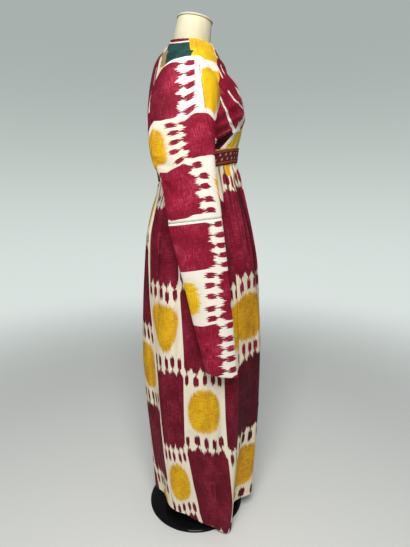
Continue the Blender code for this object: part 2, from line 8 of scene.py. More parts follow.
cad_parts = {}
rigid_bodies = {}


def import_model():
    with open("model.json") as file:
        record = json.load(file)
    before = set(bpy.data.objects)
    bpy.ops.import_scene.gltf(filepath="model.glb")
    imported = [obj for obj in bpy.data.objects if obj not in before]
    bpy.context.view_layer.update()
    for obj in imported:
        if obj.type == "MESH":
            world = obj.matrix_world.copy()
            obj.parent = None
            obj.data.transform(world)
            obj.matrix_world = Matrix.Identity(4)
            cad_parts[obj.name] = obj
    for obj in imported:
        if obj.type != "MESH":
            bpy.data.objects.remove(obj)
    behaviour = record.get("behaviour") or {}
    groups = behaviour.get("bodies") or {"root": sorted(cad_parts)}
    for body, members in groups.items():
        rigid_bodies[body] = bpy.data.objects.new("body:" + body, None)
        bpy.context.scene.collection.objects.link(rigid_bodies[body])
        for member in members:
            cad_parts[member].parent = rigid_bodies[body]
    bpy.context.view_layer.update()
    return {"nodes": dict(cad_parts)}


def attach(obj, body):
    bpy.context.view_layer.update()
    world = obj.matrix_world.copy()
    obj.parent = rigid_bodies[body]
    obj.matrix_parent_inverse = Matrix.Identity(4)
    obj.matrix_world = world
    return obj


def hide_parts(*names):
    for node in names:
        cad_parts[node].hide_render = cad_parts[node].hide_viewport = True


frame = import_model()
for loaded in bpy.data.objects:
    loaded.select_set(False)
bpy.context.view_layer.objects.active = None
print("frame loaded:", len(frame["nodes"]), "solids")


# Small helpers for meshes

def selectOnly(piece):
    for other in bpy.context.selected_objects:
        other.select_set(False)
    piece.select_set(True)
    bpy.context.view_layer.objects.active = piece


def newest(name):
    piece = bpy.context.object
    piece.name = name
    return piece


def editAll(piece):
    selectOnly(piece)
    bpy.ops.object.mode_set(mode="EDIT")
    bpy.ops.mesh.select_all(action="SELECT")


def applyModifier(piece, kind, **settings):
    selectOnly(piece)
    modifier = piece.modifiers.new(kind.title(), kind)
    for name, value in settings.items():
        setattr(modifier, name, value)
    bpy.ops.object.modifier_apply(modifier=modifier.name)


def settleObject(piece):
    # place, turn and scale go into the mesh, so the object itself sits at the origin
    selectOnly(piece)
    bpy.ops.object.transform_apply(location=True, rotation=True, scale=True)


def smoothShade(piece, angle=40):
    selectOnly(piece)
    bpy.ops.object.shade_smooth_by_angle(angle=math.radians(angle))


def selectVerts(piece, test):
    bpy.ops.object.mode_set(mode="OBJECT")
    for vert in piece.data.vertices:
        vert.select = bool(test(vert.co))
    for edge in piece.data.edges:
        edge.select = all(piece.data.vertices[i].select for i in edge.vertices)
    for face in piece.data.polygons:
        face.select = all(piece.data.vertices[i].select for i in face.vertices)
    bpy.ops.object.mode_set(mode="EDIT")


def finishPiece(piece, material, nodes=()):
    piece.data.materials.clear()
    piece.data.materials.append(material)
    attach(piece, "root")
    if nodes:
        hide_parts(*nodes)
    return piece


# Curves and tables

def smoothValue(xs, ys, x):
    # smooth curve through a table's column that never overshoots
    xs, ys = np.asarray(xs, dtype=float), np.asarray(ys, dtype=float)
    x = np.clip(np.asarray(x, dtype=float), xs[0], xs[-1])
    steps = np.diff(ys) / np.diff(xs)
    before, after = steps[:-1], steps[1:]
    same = before * after > 0
    inside = np.where(same, 2 * before * after / np.where(same, before + after, 1.0), 0.0)
    slopes = np.concatenate((steps[:1], inside, steps[-1:]))
    row = np.clip(np.searchsorted(xs, x, side="right") - 1, 0, len(xs) - 2)
    width = xs[row + 1] - xs[row]
    t = (x - xs[row]) / width
    start = (1 + 2 * t) * (1 - t) ** 2 * ys[row] + t * (1 - t) ** 2 * width * slopes[row]
    end = t * t * (3 - 2 * t) * ys[row + 1] + t * t * (t - 1) * width * slopes[row + 1]
    return start + end


def readTable(table, name, x):
    # the first column says where each row lies
    number = table["columns"].index(name)
    return smoothValue([row[0] for row in table["rows"]], [row[number] for row in table["rows"]], x)


def ease(x):
    t = np.clip(x, 0.0, 1.0)
    return t * t * (3 - 2 * t)


def before(x, edge):
    # 0 past the edge's first number, rising to 1 where x is smaller by the second
    return ease((edge[0] - x) / edge[1])


def bump(x):
    # 1 at 0, falling softly to 0 at -1 and 1
    return np.where(np.abs(x) < 1, np.cos(np.clip(x, -1, 1) * math.pi / 2) ** 2, 0.0)


def turnBetween(a, b):
    return (a - b + 180.0) % 360.0 - 180.0


# The robe's form, in metres; angles start at the front and grow to the wearer's right

cloth = {
    "thickness": 0.0011,
    "wall": 0.002,
    "seamGap": 0.0003,
    "layerGap": 0.0012,
    "skirtRows": 232,
    "skirtCell": 0.003,
    "bodiceRows": (18, 49, 22),
    "frontColumns": 56,
    "backColumns": 50,
    "skirtRadius": 0.19,
    "waistRadius": 0.12,
    "chestRadius": 0.15,
    "seamDip": 0.0011,
    "seamDipWidth": 0.0035,
    "hemWidth": 0.016,
    "frontHemWidth": 0.012,
    "hemDip": 0.0008,
    "hemDipWidth": 0.004,
}
underLayer = cloth["wall"] + cloth["layerGap"]  # how far the left front lies under the right one
seamTurn = math.degrees(cloth["seamGap"] / 2 / cloth["waistRadius"])  # half a seam's gap, as an angle

levels = {
    "hem": 0.045,
    "bandBottom": 1.111,
    "bandTop": 1.151,
    "bandMiddle": 1.131,
    "underarm": 1.2,
    "shoulder": 1.352,
    "neckSide": 1.417,
    "neckBack": 1.427,
    "neckTop": 1.4165,
}

seams = {
    "frontOverlap": 18.0,
    "armholeFront": 27.5,
    "armholeBack": 40.0,
    "armholeGap": 0.0005,
    # where the left front starts to lie under the right one, and over how far it sinks
    "skirtUnder": (33.0, 12.0),
    "bodiceUnder": (25.0, 10.0),
    "bodiceUnderTop": (1.325, 0.03),
}
armholeMiddle = (levels["underarm"] + levels["shoulder"]) / 2
armholeHalf = (levels["shoulder"] - levels["underarm"]) / 2

robeSections = {
    "columns": ("level", "drop", "half", "front", "back", "power"),
    "rows": (
        (0.0, 0.0, 0.152, 0.178, 0.128, 2.05),
        (0.15, 0.0, 0.166, 0.185, 0.134, 2.2),
        (0.26, 0.0, 0.175, 0.19, 0.14, 2.3),
        (0.38, 0.0, 0.18, 0.195, 0.148, 2.3),
        (0.56, 0.0, 0.182, 0.197, 0.156, 2.25),
        (0.7, 0.0, 0.179, 0.192, 0.153, 2.2),
        (0.82, 0.004, 0.173, 0.185, 0.147, 2.2),
        (0.92, 0.015, 0.164, 0.168, 0.14, 2.2),
        (1.01, 0.035, 0.15, 0.147, 0.124, 2.15),
        (1.07, 0.048, 0.139, 0.131, 0.108, 2.1),
        (1.111, 0.052, 0.133, 0.119, 0.1, 2.1),
        (1.151, 0.052, 0.134, 0.123, 0.106, 2.1),
        (1.175, 0.049, 0.143, 0.13, 0.117, 2.1),
        (1.208, 0.041, 0.157, 0.137, 0.126, 2.15),
        (1.228, 0.035, 0.163, 0.1425, 0.127, 2.18),
        (1.254, 0.027, 0.172, 0.138, 0.128, 2.2),
        (1.3, 0.012, 0.183, 0.122, 0.122, 2.2),
        (1.335, 0.003, 0.189, 0.093, 0.114, 2.0),
        (1.352, 0.0, 0.187, 0.088, 0.109, 1.9),
        (1.372, 0.0, 0.158, 0.077, 0.103, 1.7),
        (1.392, 0.0, 0.122, 0.073, 0.09, 1.6),
        (1.407, 0.0, 0.091, 0.069, 0.079, 1.65),
        (1.417, 0.0, 0.066, 0.062, 0.07, 1.8),
        (1.43, 0.0, 0.059, 0.056, 0.064, 2.0),
    ),
}

neckline = {
    "columns": ("level", "angle"),
    "rows": (
        (1.131, -17.0),
        (1.155, -15.0),
        (1.21, -8.0),
        (1.254, -1.0),
        (1.3, 5.5),
        (1.34, 12.0),
        (1.372, 24.0),
        (1.397, 42.0),
        (1.408, 60.0),
        (1.4165, 85.0),
    ),
}

hemLine = {
    "columns": ("angle", "height"),
    "rows": (
        (-180.0, 0.08),
        (-135.0, 0.066),
        (-90.0, 0.044),
        (-62.0, 0.026),
        (-25.0, 0.044),
        (0.0, 0.052),
        (20.0, 0.055),
        (38.0, 0.048),
        (60.0, 0.006),
        (75.0, 0.02),
        (90.0, 0.044),
        (110.0, 0.078),
        (135.0, 0.093),
        (160.0, 0.096),
        (180.0, 0.08),
    ),
}

# top angle, hem angle, top level, width, depth at half height, depth at the hem
longFolds = (
    (60.0, 62.0, 0.95, 13.0, 0.006, 0.029),
    (40.0, 36.0, 1.02, 19.0, -0.007, -0.026),
    (16.0, 13.0, 1.05, 16.0, 0.005, 0.009),
    (-8.0, -10.0, 1.05, 15.0, -0.006, -0.012),
    (-26.0, -30.0, 1.05, 15.0, 0.006, 0.012),
    (-44.0, -48.0, 1.02, 16.0, -0.006, -0.015),
    (-62.0, -66.0, 0.95, 15.0, 0.007, 0.016),
    (-88.0, -90.0, 0.9, 20.0, -0.006, -0.01),
    (-112.0, -114.0, 0.98, 17.0, 0.006, 0.01),
    (-136.0, -138.0, 1.0, 17.0, -0.006, -0.011),
    (-158.0, -160.0, 1.02, 16.0, 0.006, 0.006),
    (180.0, 180.0, 1.04, 16.0, -0.007, -0.006),
    (160.0, 161.0, 1.02, 15.0, 0.006, 0.005),
    (138.0, 141.0, 1.0, 17.0, -0.007, -0.01),
    (114.0, 117.0, 0.97, 18.0, 0.005, 0.008),
    (88.0, 92.0, 0.88, 20.0, -0.004, -0.008),
)

gatherSizes = {
    "front": 12,
    "back": 7,
    "bodice": 9,
    "depth": 0.004,
    "skirtLength": 0.075,
    "bodiceLength": 0.028,
    "pleats": 25,
    "pleatDepth": 0.008,
    "pleatLength": 0.09,
    "pleatValley": 0.21,
    "pleatRise": 0.01,
    "skirtRise": 0.016,
    "bodiceRise": 0.012,
    "backFrom": (115.0, 20.0),
}

# side level, front level, width, depth of the soft ridges across the crossed fronts
drapes = (
    (1.2, 1.3, 0.014, 0.004),
    (1.18, 1.252, 0.012, 0.004),
    (1.165, 1.205, 0.011, 0.0035),
)

# fine creases of the skirt: angle at the top, lean to the hem, top level, bottom level, width, depth
softCreases = (
    (74.0, 3.0, 1.1, 0.78, 3.6, -0.0034),
    (66.0, 1.0, 1.1, 0.86, 3.2, -0.0032),
    (53.5, -2.0, 1.1, 0.8, 3.6, -0.003),
    (47.5, -4.0, 1.1, 0.76, 4.4, 0.0036),
    (32.0, -4.0, 1.09, 0.8, 5.5, -0.0085),
    (21.5, -6.0, 1.08, 0.66, 8.0, -0.011),
    (22.0, 2.0, 1.1, 0.82, 3.0, -0.003),
    (4.0, -1.0, 1.1, 0.7, 3.8, -0.0034),
    (-18.0, -4.0, 1.1, 0.8, 3.4, -0.0034),
    (-35.0, 2.0, 1.1, 0.68, 4.0, -0.004),
    (-54.0, -3.0, 1.1, 0.8, 3.6, -0.0034),
    (-76.0, 2.0, 1.1, 0.74, 3.8, -0.003),
    (-103.0, -4.0, 1.1, 0.7, 4.4, -0.003),
    (-128.0, 3.0, 1.1, 0.66, 4.2, -0.0032),
    (-150.0, -2.0, 1.1, 0.78, 3.6, -0.0028),
    (171.0, 3.0, 1.1, 0.72, 4.0, -0.0032),
    (149.0, -3.0, 1.1, 0.68, 4.0, -0.003),
    (127.0, 3.0, 1.1, 0.6, 5.0, -0.0036),
    (104.0, 4.0, 0.98, 0.3, 5.5, -0.003),
    (82.0, -4.0, 0.72, 0.1, 5.0, -0.0026),
    (124.0, 6.0, 0.55, 0.06, 6.0, 0.003),
    (72.0, 1.0, 0.5, 0.03, 4.5, -0.0034),
    (47.0, 2.0, 0.62, 0.08, 5.0, 0.0036),
    (26.0, -3.0, 0.7, 0.04, 5.5, -0.0034),
    (2.0, 3.0, 0.6, 0.05, 5.0, 0.0034),
    (-19.0, -3.0, 0.74, 0.04, 5.0, -0.0032),
    (-37.0, 2.0, 0.58, 0.05, 5.5, 0.0036),
    (-57.0, -2.0, 0.66, 0.03, 4.8, -0.0032),
    (-77.0, 4.0, 0.72, 0.05, 5.6, 0.003),
    (-101.0, -3.0, 0.6, 0.06, 5.2, -0.003),
    (-124.0, 3.0, 0.7, 0.08, 5.6, 0.0032),
    (-147.0, -3.0, 0.66, 0.08, 5.2, -0.003),
    (-170.0, 3.0, 0.6, 0.08, 5.6, 0.0028),
    (150.0, -3.0, 0.64, 0.1, 5.4, 0.003),
)

# level, depth and reach of the creases left where the robe lay folded
storageCreases = (
    (0.735, 0.001, 0.01),
    (0.372, 0.0012, 0.011),
)

# tucks of the bodice above the waistband: angle, lean, height, width, depth
bodiceTucks = (
    (66.0, -18.0, 0.07, 3.4, -0.0042),
    (55.0, -16.0, 0.055, 3.0, -0.0036),
    (43.0, -12.0, 0.048, 2.8, -0.003),
    (78.0, -10.0, 0.05, 3.2, -0.0032),
    (97.0, 3.0, 0.045, 4.0, -0.003),
    (114.0, 4.0, 0.06, 4.4, -0.0036),
    (133.0, 2.0, 0.05, 4.0, -0.003),
    (154.0, -3.0, 0.065, 4.6, -0.0034),
    (173.0, 2.0, 0.048, 4.0, -0.0028),
    (-162.0, -2.0, 0.06, 4.2, -0.0034),
    (-141.0, 3.0, 0.046, 4.0, -0.0028),
    (-121.0, -4.0, 0.062, 4.4, -0.0034),
    (-101.0, -3.0, 0.046, 4.0, -0.003),
    (-81.0, 10.0, 0.052, 3.2, -0.0032),
    (-69.0, 17.0, 0.066, 3.4, -0.004),
    (-57.0, 15.0, 0.052, 3.0, -0.0034),
    (-44.0, 11.0, 0.046, 2.8, -0.003),
)

# sharp folds across each front: start angle and level, end angle and level, width, depth
frontFolds = (
    (68.0, 1.1675, 38.0, 1.1925, 0.0045, -0.007),
    (68.0, 1.154, 42.0, 1.185, 0.004, -0.0055),
    (66.0, 1.161, 46.0, 1.186, 0.004, 0.0032),
    (66.0, 1.179, 50.0, 1.196, 0.005, 0.003),
    (58.0, 1.242, 30.0, 1.226, 0.007, -0.0022),
    (46.0, 1.33, 34.0, 1.265, 0.008, -0.002),
)


def rounded(value, power):
    # a sine or cosine made fuller or flatter, for a section between an oval and a box
    return np.sign(value) * np.abs(value) ** (2 / power)


def plainRobe(angle, level):
    drop, half, front, back, power = (
        readTable(robeSections, name, level) for name in robeSections["columns"][1:]
    )
    s, c = np.sin(np.radians(angle)), np.cos(np.radians(angle))
    x = -half * rounded(s, power)
    y = -np.where(c > 0, front, back) * rounded(c, power)
    z = level - drop * (1 - c) / 2
    return np.stack(np.broadcast_arrays(x, y, z), axis=-1)


def clearOfOverlap(angle):
    return ease((np.abs(angle) - seams["frontOverlap"] - 1) / 14)


def pleats(angle, below):
    # soft pleats with sharp valleys between them, each of its own depth and length
    place = (angle + 1.7 * np.sin(np.radians(angle) * 7 + 1)) * gatherSizes["pleats"] / 180.0
    number = np.round(place)
    uneven = np.sin(number * 2.4) * np.sin(number * 1.1 + 2)
    valley = 0.25 - np.exp(-(((place - number) / gatherSizes["pleatValley"]) ** 2))
    reach = gatherSizes["pleatLength"] * (1 + 0.6 * uneven)
    fade = np.clip(below / gatherSizes["pleatRise"], 0, 1) * np.exp(-((np.maximum(below, 0) / reach) ** 1.5))
    return gatherSizes["pleatDepth"] * (1 + 0.5 * uneven) * valley * fade * clearOfOverlap(angle)


def gathers(angle, level):
    spread = angle + 2.2 * np.sin(np.radians(angle) * 5) + 1.3 * np.cos(np.radians(angle) * 9)
    front = np.cos(np.radians(spread) * 2 * gatherSizes["front"])
    back = np.cos(np.radians(spread) * 2 * gatherSizes["back"])
    bodice = np.cos(np.radians(spread) * 2 * gatherSizes["bodice"]) * clearOfOverlap(angle)
    forward = before(np.abs(angle), gatherSizes["backFrom"])
    wave = np.where(level > levels["bandTop"], bodice, front * forward + back * (1 - forward))
    below = levels["bandBottom"] - level
    above = level - levels["bandTop"]
    under = np.clip(below / gatherSizes["skirtRise"], 0, 1) * np.exp(-below / gatherSizes["skirtLength"])
    over = np.clip(above / gatherSizes["bodiceRise"], 0, 1) * np.exp(-above / gatherSizes["bodiceLength"])
    fade = np.where(below > 0, under, np.where(above > 0, over, 0.0))
    return gatherSizes["depth"] * wave * fade + pleats(angle, below)


def skirtFolds(angle, level):
    total = 0.0
    for topAngle, hemAngle, topLevel, width, middle, hem in longFolds:
        down = np.clip((topLevel - level) / (topLevel - levels["hem"]), 0, 1)
        centre = topAngle + (hemAngle - topAngle) * down
        upper = middle * ease(down / 0.5)
        lower = middle + (hem - middle) * (down - 0.5) / 0.5
        total = total + np.where(down < 0.5, upper, lower) * bump(turnBetween(angle, centre) / width)
    return total


def skirtCreases(angle, level):
    total = 0.0
    for topAngle, lean, top, bottom, width, depth in softCreases:
        down = (top - level) / (top - bottom)
        wander = 0.8 * np.sin(level * 23 + topAngle)
        inside = ease(down / 0.12) * ease((1 - down) / 0.5)
        centre = topAngle + lean * np.clip(down, 0, 1) + wander
        total = total + depth * inside * bump(turnBetween(angle, centre) / width)
    for creaseLevel, depth, reach in storageCreases:
        line = creaseLevel + 0.006 * np.sin(np.radians(angle * 3 + 40))
        strength = 0.55 + 0.45 * np.sin(np.radians(angle * 4))
        total = total + depth * strength * bump((level - line) / reach)
    return total


def bodiceDrapes(angle, level):
    total = 0.0
    across = np.clip(1 - np.abs(angle) / 90, 0, 1)
    for sideLevel, frontLevel, width, depth in drapes:
        centre = sideLevel + (frontLevel - sideLevel) * across
        strength = ease(across / 0.25) * clearOfOverlap(angle)
        total = total + depth * strength * bump((level - centre) / width)
    return total


def bodiceCreases(angle, level):
    total = 0.0
    for start, lean, height, width, depth in bodiceTucks:
        up = (level - levels["bandTop"]) / height
        centre = start + lean * np.clip(up, 0, 1)
        inside = ease(up / 0.15) * ease(1 - up)
        total = total + depth * inside * bump(turnBetween(angle, centre) / width)
    for startTurn, startLevel, endTurn, endLevel, width, depth in frontFolds:
        share = (startTurn - np.abs(angle)) / (startTurn - endTurn)
        centre = startLevel + (endLevel - startLevel) * share
        inside = ease(share / 0.2) * ease((1 - share) / 0.4)
        total = total + depth * inside * bump((level - centre) / width)
    return total * clearOfOverlap(angle)


def robeSurface(angle, level):
    angle, level = np.broadcast_arrays(np.asarray(angle, dtype=float), np.asarray(level, dtype=float))
    points = plainRobe(angle, level)
    below = skirtFolds(angle, level) + skirtCreases(angle, level)
    above = bodiceDrapes(angle, level) + bodiceCreases(angle, level)
    height = gathers(angle, level)
    height = height + np.where(level < levels["bandBottom"], below, 0.0)
    height = height + np.where(level > levels["bandTop"], above, 0.0)
    flat = points[..., :2]
    out = flat / np.maximum(np.linalg.norm(flat, axis=-1), 1e-6)[..., None]
    points = points.copy()
    points[..., :2] += out * height[..., None]
    return points


def normalsOf(surface, angle, level):
    turn, rise = 0.4, 0.0015
    roundWay = surface(angle + turn, level) - surface(angle - turn, level)
    upWay = surface(angle, level + rise) - surface(angle, level - rise)
    normals = np.cross(upWay, roundWay)
    return normals / np.linalg.norm(normals, axis=-1)[..., None]


def robeLayer(angle, level, inward):
    angle, level = np.broadcast_arrays(np.asarray(angle, dtype=float), np.asarray(level, dtype=float))
    inward = np.broadcast_to(inward, angle.shape)
    return robeSurface(angle, level) - normalsOf(robeSurface, angle, level) * inward[..., None]


# Cloth panels: a grid laid on the form, with a map of the cloth's threads

def clothGrid(name, points, threadMap, folds=None, flip=False, closed=False, wall=True):
    # rows by columns of points become one sheet, with the cloth's own thickness if it is a wall
    if flip:
        points, threadMap, folds = points[:, ::-1], threadMap[:, ::-1], folds[:, ::-1]
    rows, columns = points.shape[:2]
    bpy.ops.mesh.primitive_grid_add(x_subdivisions=columns - 1, y_subdivisions=rows - 1, size=1)
    piece = newest(name)
    mesh = piece.data
    mesh.name = name
    mesh.vertices.foreach_set("co", points.reshape(-1, 3).ravel())
    mesh.update()
    corner = np.empty(len(mesh.loops), dtype=np.int32)
    mesh.loops.foreach_get("vertex_index", corner)
    mesh.uv_layers[0].name = "clothMap"
    mesh.uv_layers[0].data.foreach_set("uv", threadMap.reshape(-1, 2)[corner].ravel())
    # how deep each point lies in a fold, which the cloth's material turns into painted shade
    if folds is not None:
        layer = mesh.attributes.new("foldDepth", "FLOAT", "POINT")
        layer.data.foreach_set("value", np.clip(folds, 0.0, 1.0).ravel())
    editAll(piece)
    if closed:
        bpy.ops.mesh.remove_doubles(threshold=0.00005)
    if wall:
        bpy.ops.mesh.flip_normals()
    else:
        bpy.ops.mesh.normals_make_consistent(inside=False)
    bpy.ops.object.mode_set(mode="OBJECT")
    if wall:
        applyModifier(piece, "SOLIDIFY", thickness=cloth["thickness"], offset=-1.0, use_even_offset=False)
    bpy.ops.object.shade_smooth()
    return piece


def distanceAlong(points, axis):
    steps = np.linalg.norm(np.diff(points, axis=axis), axis=-1)
    shape = list(steps.shape)
    shape[axis] = 1
    return np.concatenate((np.zeros(shape), np.cumsum(steps, axis=axis)), axis=axis)


# how deep a fine fold of each piece is where the painted shade in it becomes full
darkFrom = {"pleat": 0.003, "skirt": 0.0085, "bodice": 0.0055, "sleeve": 0.0085}


def seamGroove(distance):
    # how far the cloth turns in towards a seam
    return cloth["seamDip"] * np.exp(-((distance / cloth["seamDipWidth"]) ** 2))


def hemGroove(distance, width):
    # the dip of the stitches along a turned edge
    return cloth["hemDip"] * bump((distance - width) / cloth["hemDipWidth"])


# seams of the skirt and the lines between its dyed columns, as angles on the right side
skirtLines = {
    "columns": ("level", "frontSeam", "frontLine", "sideLine", "backSeam"),
    "rows": (
        (0.045, 60.5, 55.0, 84.9, 115.0),
        (0.12, 57.5, 59.0, 88.4, 119.0),
        (0.24, 54.0, 63.5, 94.0, 123.0),
        (0.34, 53.0, 66.3, 98.4, 125.2),
        (0.42, 52.5, 67.6, 98.4, 127.0),
        (0.56, 52.5, 68.4, 98.3, 133.0),
        (0.68, 53.0, 69.4, 100.2, 141.0),
        (0.78, 54.0, 70.3, 102.3, 146.5),
        (0.95, 57.0, 72.3, 105.0, 150.5),
        (1.131, 57.6, 74.0, 106.0, 146.0),
    ),
}

dyeing = {
    "column": 0.13,
    "repeat": 0.48,
    "sideShift": 0.4275,
    "backShift": 0.2945,
    "frontShift": 0.445,
    "hemPull": 0.4,
    "frontStart": 0.17,
    "leftColumns": 8,
    "leftShift": 0.045,
    "outerColumns": (31.0, 33.0),
    "frontDrop": 0.7,
    "dropEnd": (92.0, 14.0),
}

# how far the dye's pattern hangs below its even place near the right front corner
hemDrop = {
    "columns": ("level", "drop"),
    "rows": ((0.0, 0.06), (0.1, 0.045), (0.2, 0.024), (0.27, 0.014), (0.4, 0.004), (0.5, 0.0)),
}


def skirtLine(name, level):
    return readTable(skirtLines, name, level)


def columnsBetween(value, lines):
    # 0 at the first line, 1 at the second and so on, going on evenly past both ends
    place = (value - lines[0]) / (lines[1] - lines[0])
    for number, (start, end) in enumerate(zip(lines[1:], lines[2:]), 1):
        place = np.where(value > start, number + (value - start) / (end - start), place)
    return place


def panelMap(kind, turn, level):
    # turn is the angle from the front, whichever side the panel is on
    if kind == "front":
        seam = skirtLine("frontSeam", level)
        place = dyeing["frontStart"] + (seam - turn) / seam
        along = level - dyeing["frontShift"] + dyeing["frontDrop"] * readTable(hemDrop, "drop", level)
    else:
        front, side, back = (skirtLine(n, level) for n in ("frontLine", "sideLine", "backSeam"))
        frontWide, backWide = dyeing["outerColumns"]
        place = columnsBetween(turn, [front - frontWide, front, side, back, back + backWide])
        shift = dyeing["backShift"] + dyeing["repeat"] / 2 if kind == "back" else dyeing["sideShift"]
        along = level - shift + before(turn, dyeing["dropEnd"]) * readTable(hemDrop, "drop", level)
    return np.stack((place * dyeing["column"], along), axis=-1)


# edges of the skirt's panels, from the smaller turn to the larger
skirtPanels = {
    "front": ("overlap", "frontSeam"),
    "side": ("frontSeam", "backSeam"),
    "back": ("backSeam", "middle"),
}


def edgeTurn(edge, level):
    if edge == "overlap":
        return np.full_like(level, -seams["frontOverlap"])
    if edge == "middle":
        return np.full_like(level, 180.0)
    return skirtLine(edge, level)


def makeSkirtPanel(name, kind, side):
    top = levels["bandMiddle"] - cloth["seamGap"] / 2
    share = np.linspace(0.0, 1.0, cloth["skirtRows"])
    # closer rows at the waist and the hem
    share = share - 0.4 * np.sin(share * 2 * math.pi) / (2 * math.pi)
    plain = top + (levels["hem"] - top) * share
    edges = skirtPanels[kind]
    first = edgeTurn(edges[0], plain) + (0.0 if kind == "front" else seamTurn)
    last = edgeTurn(edges[1], plain) - seamTurn
    acrossCount = int(round(math.radians((last - first).max()) * cloth["skirtRadius"] / cloth["skirtCell"]))
    turn = first[:, None] + (last - first)[:, None] * np.linspace(0.0, 1.0, acrossCount)
    angle = side * turn
    pull = ease((dyeing["hemPull"] - plain) / (dyeing["hemPull"] - levels["hem"]))
    level = plain[:, None] + (readTable(hemLine, "height", angle) - levels["hem"]) * pull[:, None]
    bare = robeSurface(angle, level)
    across, down = distanceAlong(bare, 1), distanceAlong(bare, 0)
    inward = seamGroove(across[:, -1:] - across) + hemGroove(down[-1:] - down, cloth["hemWidth"])
    if kind != "front":
        inward += seamGroove(across)
    elif side < 0:
        inward += underLayer * before(turn, seams["skirtUnder"])
    points = robeLayer(angle, level, inward)
    threadMap = panelMap(kind, turn, level)
    if side < 0:
        threadMap = threadMap + (dyeing["leftColumns"] * dyeing["column"], dyeing["leftShift"])
    # the depth of the pleats and creases, for the painted shade in the folds
    folds = -pleats(angle, levels["bandBottom"] - level) / darkFrom["pleat"]
    folds = np.maximum(folds, -skirtCreases(angle, level) / darkFrom["skirt"])
    return clothGrid(name, points, threadMap, folds, flip=side < 0)


# Bodice

bodiceMetres = 0.0023  # metres of cloth for each degree round the chest


def bodiceRows():
    # level of each row and how far along the armhole it lies
    half = armholeHalf + seams["armholeGap"]
    lowCount, middleCount, highCount = cloth["bodiceRows"]
    low = np.linspace(levels["bandMiddle"] + cloth["seamGap"] / 2, armholeMiddle - half, lowCount)[:-1]
    turns = np.linspace(math.pi, 0.0, middleCount)
    armhole = armholeMiddle + half * np.cos(turns)
    high = np.linspace(armholeMiddle + half, levels["neckTop"], highCount)[1:]
    level = np.concatenate((low, armhole, high))
    reach = np.concatenate((np.zeros(len(low)), np.sin(turns), np.zeros(len(high))))
    return level, reach


def bodiceEdges(reach, width):
    grow = math.degrees(seams["armholeGap"] / cloth["chestRadius"])
    return np.maximum((width + grow) * reach, seamTurn)


def bodicePanel(name, side, angle, level, hidden, firstEdge):
    # a front's first edge is turned in, and a back's is a seam
    across = distanceAlong(robeSurface(side * angle, level), 1)
    firstDip = seamGroove(across) if firstEdge == "seam" else hemGroove(across, cloth["frontHemWidth"])
    inward = hidden + firstDip + seamGroove(across[:, -1:] - across)
    points = robeLayer(side * angle, level, inward)
    threadMap = np.stack((angle * bodiceMetres, level), axis=-1)
    # the depth of the tucks and folds, for the painted shade in them
    folds = -bodiceCreases(side * angle, level) / darkFrom["bodice"]
    return clothGrid(name, points, threadMap, folds, flip=side < 0)


def makeFront(name, side):
    level, reach = bodiceRows()
    innerEdge = readTable(neckline, "angle", level)
    outerEdge = 90.0 - bodiceEdges(reach, seams["armholeFront"])
    share = np.linspace(0.0, 1.0, cloth["frontColumns"])
    angle = innerEdge[:, None] + (outerEdge - innerEdge)[:, None] * share
    grid = np.broadcast_to(level[:, None], angle.shape)
    hidden = before(angle, seams["bodiceUnder"]) * before(grid, seams["bodiceUnderTop"])
    return bodicePanel(name, side, angle, grid, underLayer * hidden if side < 0 else 0.0, "turned")


def makeBack(name, side):
    level, reach = bodiceRows()
    start = 90.0 + bodiceEdges(reach, seams["armholeBack"])
    share = np.linspace(0.0, 1.0, cloth["backColumns"])
    angle = start[:, None] + (180.0 - seamTurn - start)[:, None] * share
    grid = np.broadcast_to(level[:, None], angle.shape)
    rise = (levels["neckBack"] - levels["neckSide"]) * ease((angle - 90.0) / 90.0)
    grid = grid + rise * ease((grid - levels["shoulder"]) / (levels["neckSide"] - levels["shoulder"]))
    return bodicePanel(name, side, angle, grid, 0.0, "seam")


# Sleeves

sleeveRings = {
    "columns": ("row", "outerX", "outerZ", "innerX", "innerZ", "front", "back", "power", "join", "tilt"),
    "rows": (
        (1, 0.2, 1.347, 0.163, 1.196, -0.062, 0.086, 2.0, 0.2, 0.0),
        (2, 0.213, 1.332, 0.168, 1.191, -0.061, 0.093, 2.0, 0.5, 0.0),
        (3, 0.227, 1.298, 0.175, 1.182, -0.059, 0.098, 2.0, 0.85, 0.0),
        (4, 0.235, 1.245, 0.18, 1.168, -0.057, 0.101, 2.0, 1.0, 0.0),
        (5, 0.238, 1.19, 0.183, 1.148, -0.054, 0.102, 1.9, 1.0, 0.0),
        (6, 0.238, 1.125, 0.186, 1.105, -0.053, 0.097, 1.8, 1.0, 0.0),
        (7, 0.236, 1.055, 0.188, 1.05, -0.06, 0.072, 1.7, 1.0, 0.05),
        (8, 0.235, 0.964, 0.189, 0.962, -0.071, 0.059, 1.7, 1.0, 0.115),
        (9, 0.234, 0.89, 0.19, 0.89, -0.081, 0.044, 1.7, 1.0, 0.05),
        (10, 0.233, 0.8, 0.191, 0.8, -0.092, 0.0215, 1.7, 1.0, 0.0),
        (11, 0.232, 0.7, 0.193, 0.7, -0.102, -0.001, 1.7, 1.0, 0.0),
        (12, 0.231, 0.63, 0.194, 0.63, -0.109, -0.018, 1.7, 1.0, -0.05),
        (13, 0.23, 0.558, 0.195, 0.558, -0.117, -0.033, 1.7, 1.0, -0.155),
    ),
}

sleeve = {
    "upperRows": (0.0, 8.0, 96),  # first and last ring row, and how many rows of points
    "lowerRows": (8.0, 13.0, 100),
    "columns": 124,
    "jointGap": 0.0004,
    "creaseTop": 34.0,
    "creaseLow": 72.0,
    "creaseWidth": 24.0,
    "creaseHeight": 0.004,
    "creaseLowLevel": 1.06,
    "leftSwing": 0.014,
    "cuffWidth": 0.014,
}

